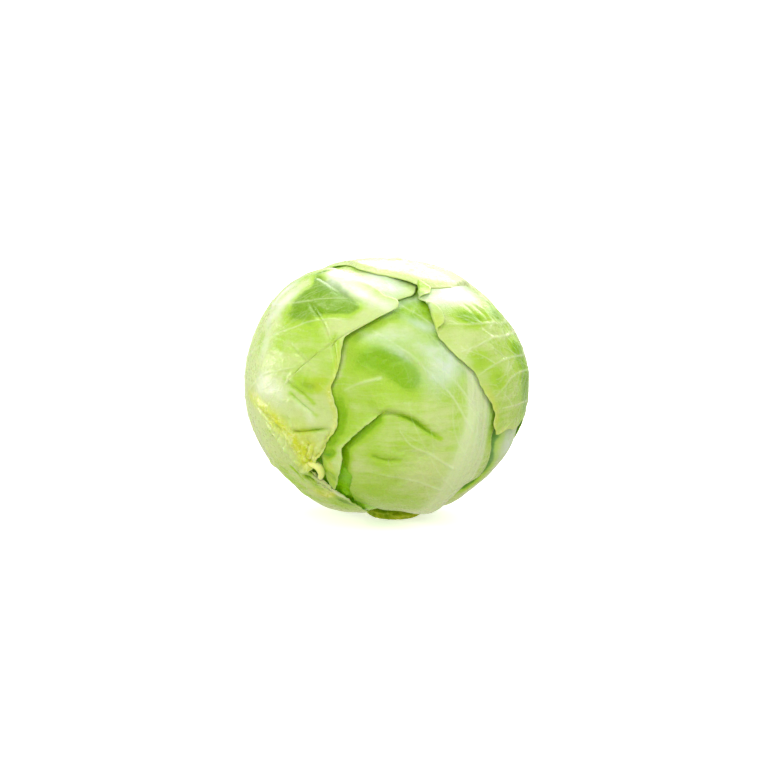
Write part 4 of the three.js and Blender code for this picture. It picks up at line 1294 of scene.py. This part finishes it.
# a cube's faces pushed out to the head, with a socket for the stem
def buildHeart(sunk, cells, edges, socket):
    steps = np.linspace(-1, 1, cells + 1)
    points, faces = {}, []
    for axis in range(3):
        for end in (-1, 1):
            for i in range(cells):
                for j in range(cells):
                    ring = []
                    for a, b in ((i, j), (i + 1, j), (i + 1, j + 1), (i, j + 1)):
                        spot = [0.0, 0.0, 0.0]
                        spot[axis] = float(end)
                        spot[(axis + 1) % 3] = math.tan(steps[a] * math.pi / 4)
                        spot[(axis + 2) % 3] = math.tan(steps[b] * math.pi / 4)
                        key = tuple(round(c, 6) for c in spot)
                        ring.append(points.setdefault(key, len(points)))
                    faces.append(ring if end > 0 else ring[::-1])
    d = np.array(list(points))
    d /= np.linalg.norm(d, axis=1, keepdims=True)
    depth, _ = pressed(d)
    radius = headRadius(d) - sunk - depth
    for (azimuth, height), reach, rise in edges:
        away = arcRadius * np.arccos(np.clip(d @ directionOf(azimuth, height), -1, 1))
        radius -= rise * smoothstep(away, reach, reach + 5)
    middle = headMiddle + d * radius[:, None]
    # the middle of the underside goes up round the stem
    away = np.hypot(middle[:, 0], middle[:, 1]) / socket["radius"]
    hole = (away < 1) & (middle[:, 2] < socket["below"])
    middle[hole, 2] = np.maximum(middle[hole, 2],
                                 socket["foot"] + socket["rise"] * (1 - away[hole] ** 2) ** 0.5)
    piece = plainMesh("heartLeaves", middle, faces)
    mesh = piece.data
    for name in ("ribTint", "vein", "halo", "wilt", "bloomAndHighlight", "margin"):
        storeValues(mesh, name, np.zeros(len(middle)))
    storeValues(mesh, "tone", np.full(len(middle), -0.5))
    storeValues(mesh, "ribPlace", np.zeros((len(middle), 3)))
    storeMap(mesh, np.stack([d[:, 0] * 90, d[:, 2] * 90], -1))
    mesh.materials.append(leafMaterial("heartLeaves"))
    handOver(piece, "heart")


buildHeart(**heartSettings)


print("stem")
stemSettings = dict(around=220, up=60, seed=31, faceRadius=15.2, faceRings=22, top=34.0, tip=36.0,
                    scars=dict(count=11, level=(2.2, 6.5), width=(4.5, 9.0), size=(2.0, 4.0)))
mmPerDegree = 0.29  # round the stem
scarFall = dict(above=2.4, below=1.1)
stemPalette = dict(dark=srgb(112, 140, 0), light=srgb(156, 174, 16), fibre=srgb(186, 194, 70),
                   brown=srgb(120, 110, 40))
stemGloss = {"Subsurface Weight": 0.1, "Subsurface Scale": 0.002, "Specular Tint": (0.8, 1.0, 0.2, 1.0),
             "Specular IOR Level": 0.25}


def stemMaterial(dark, light, fibre, brown):
    material, tree, shader = newMaterial("cutStem")
    place = addNode(tree, "ShaderNodeTexCoord").outputs["Object"]
    strands = noiseOf(tree, stretch(tree, place, (1.0, 1.0, 0.22)), 260.0, 5.0, 0.65)
    broad = noiseOf(tree, place, 55.0, 3.0)
    stains = noiseOf(tree, place, 120.0, 4.0, 0.7)
    colour = mixColour(tree, rangeOf(tree, broad, 0.35, 0.65), dark, light)
    colour = mixColour(tree, rangeOf(tree, strands, 0.48, 0.70), colour, fibre)
    colour = mixColour(tree, rangeOf(tree, stains, 0.58, 0.75), colour, brown)
    tree.links.new(colour, shader.inputs["Base Color"])
    bump = addNode(tree, "ShaderNodeBump", {"Height": strands, "Distance": 0.0012, "Strength": 0.8}).outputs[0]
    tree.links.new(bump, shader.inputs["Normal"])
    tree.links.new(rangeOf(tree, strands, 0.3, 0.7, 0.55, 0.8), shader.inputs["Roughness"])
    setSockets(shader, stemGloss)
    return material


# the stubs of leaves that were cut away round the stem
def scarAt(turn, z, scars):
    rise = np.zeros(len(turn))
    for azimuth, level, width, size in scars:
        away = (np.mod(turn - azimuth + 180, 360) - 180) * mmPerDegree
        flank = np.exp(-(away / width) ** 4)
        fall = scarFall["above" if z > level else "below"]
        rise = np.maximum(rise, size * flank * math.exp(-((z - level) / fall) ** 2))
    return rise


def buildStem(around, up, seed, faceRadius, faceRings, top, tip, scars):
    rng = np.random.default_rng(seed)
    stubs = []
    for k in range(scars["count"]):
        azimuth = k * 137.5 + rng.uniform(-12, 12)
        stubs.append((azimuth, *(rng.uniform(*scars[part]) for part in ("level", "width", "size"))))
    rings = [(r, 0.0) for r in np.linspace(1.5, faceRadius, faceRings)]
    rings += [(float(stemRadiusAt(z)) - (0.7 if z < 0.8 else 0), z) for z in np.linspace(0.5, top, up)]
    turn = np.linspace(0, 360, around, endpoint=False)
    points = [(0.0, 0.0, 0.0)]
    for radius, z in rings:
        ridge = 0.45 * wander(turn * 2, seed + 1) + 0.35 * wander(turn * 3 + z * 4, seed + 2)
        ridge = ridge + scarAt(turn, z, stubs)
        out = radius / faceRadius
        r = radius + (ridge if z > 0 else ridge * out ** 3 * 0.8)
        cut = z == 0 and out < 0.95
        uneven = 0.25 * wander(turn, seed + 3) * out + 0.25 if cut else 0.0
        a = np.radians(turn)
        points += list(zip(np.cos(a) * r, np.sin(a) * r, np.full(around, z) + uneven))
    points.append((0.0, 0.0, tip))
    faces = []
    for k in range(len(rings) - 1):
        for i in range(around):
            n = (i + 1) % around
            here, above = 1 + k * around, 1 + (k + 1) * around
            faces.append((here + i, here + n, above + n, above + i))
    last = len(points) - 1
    caps = []
    for i in range(around):
        n = (i + 1) % around
        caps.append((0, 1 + n, 1 + i))
        caps.append((last, last - around + i, last - around + n))
    mesh = bpy.data.meshes.new("cutStem")
    mesh.from_pydata([tuple(c * mm for c in p) for p in points], [], faces + caps)
    mesh.polygons.foreach_set("use_smooth", [True] * len(mesh.polygons))
    piece = bpy.data.objects.new("cutStem", mesh)
    bpy.context.scene.collection.objects.link(piece)
    mesh.materials.append(stemMaterial(**stemPalette))
    handOver(piece, "stem")


buildStem(**stemSettings)
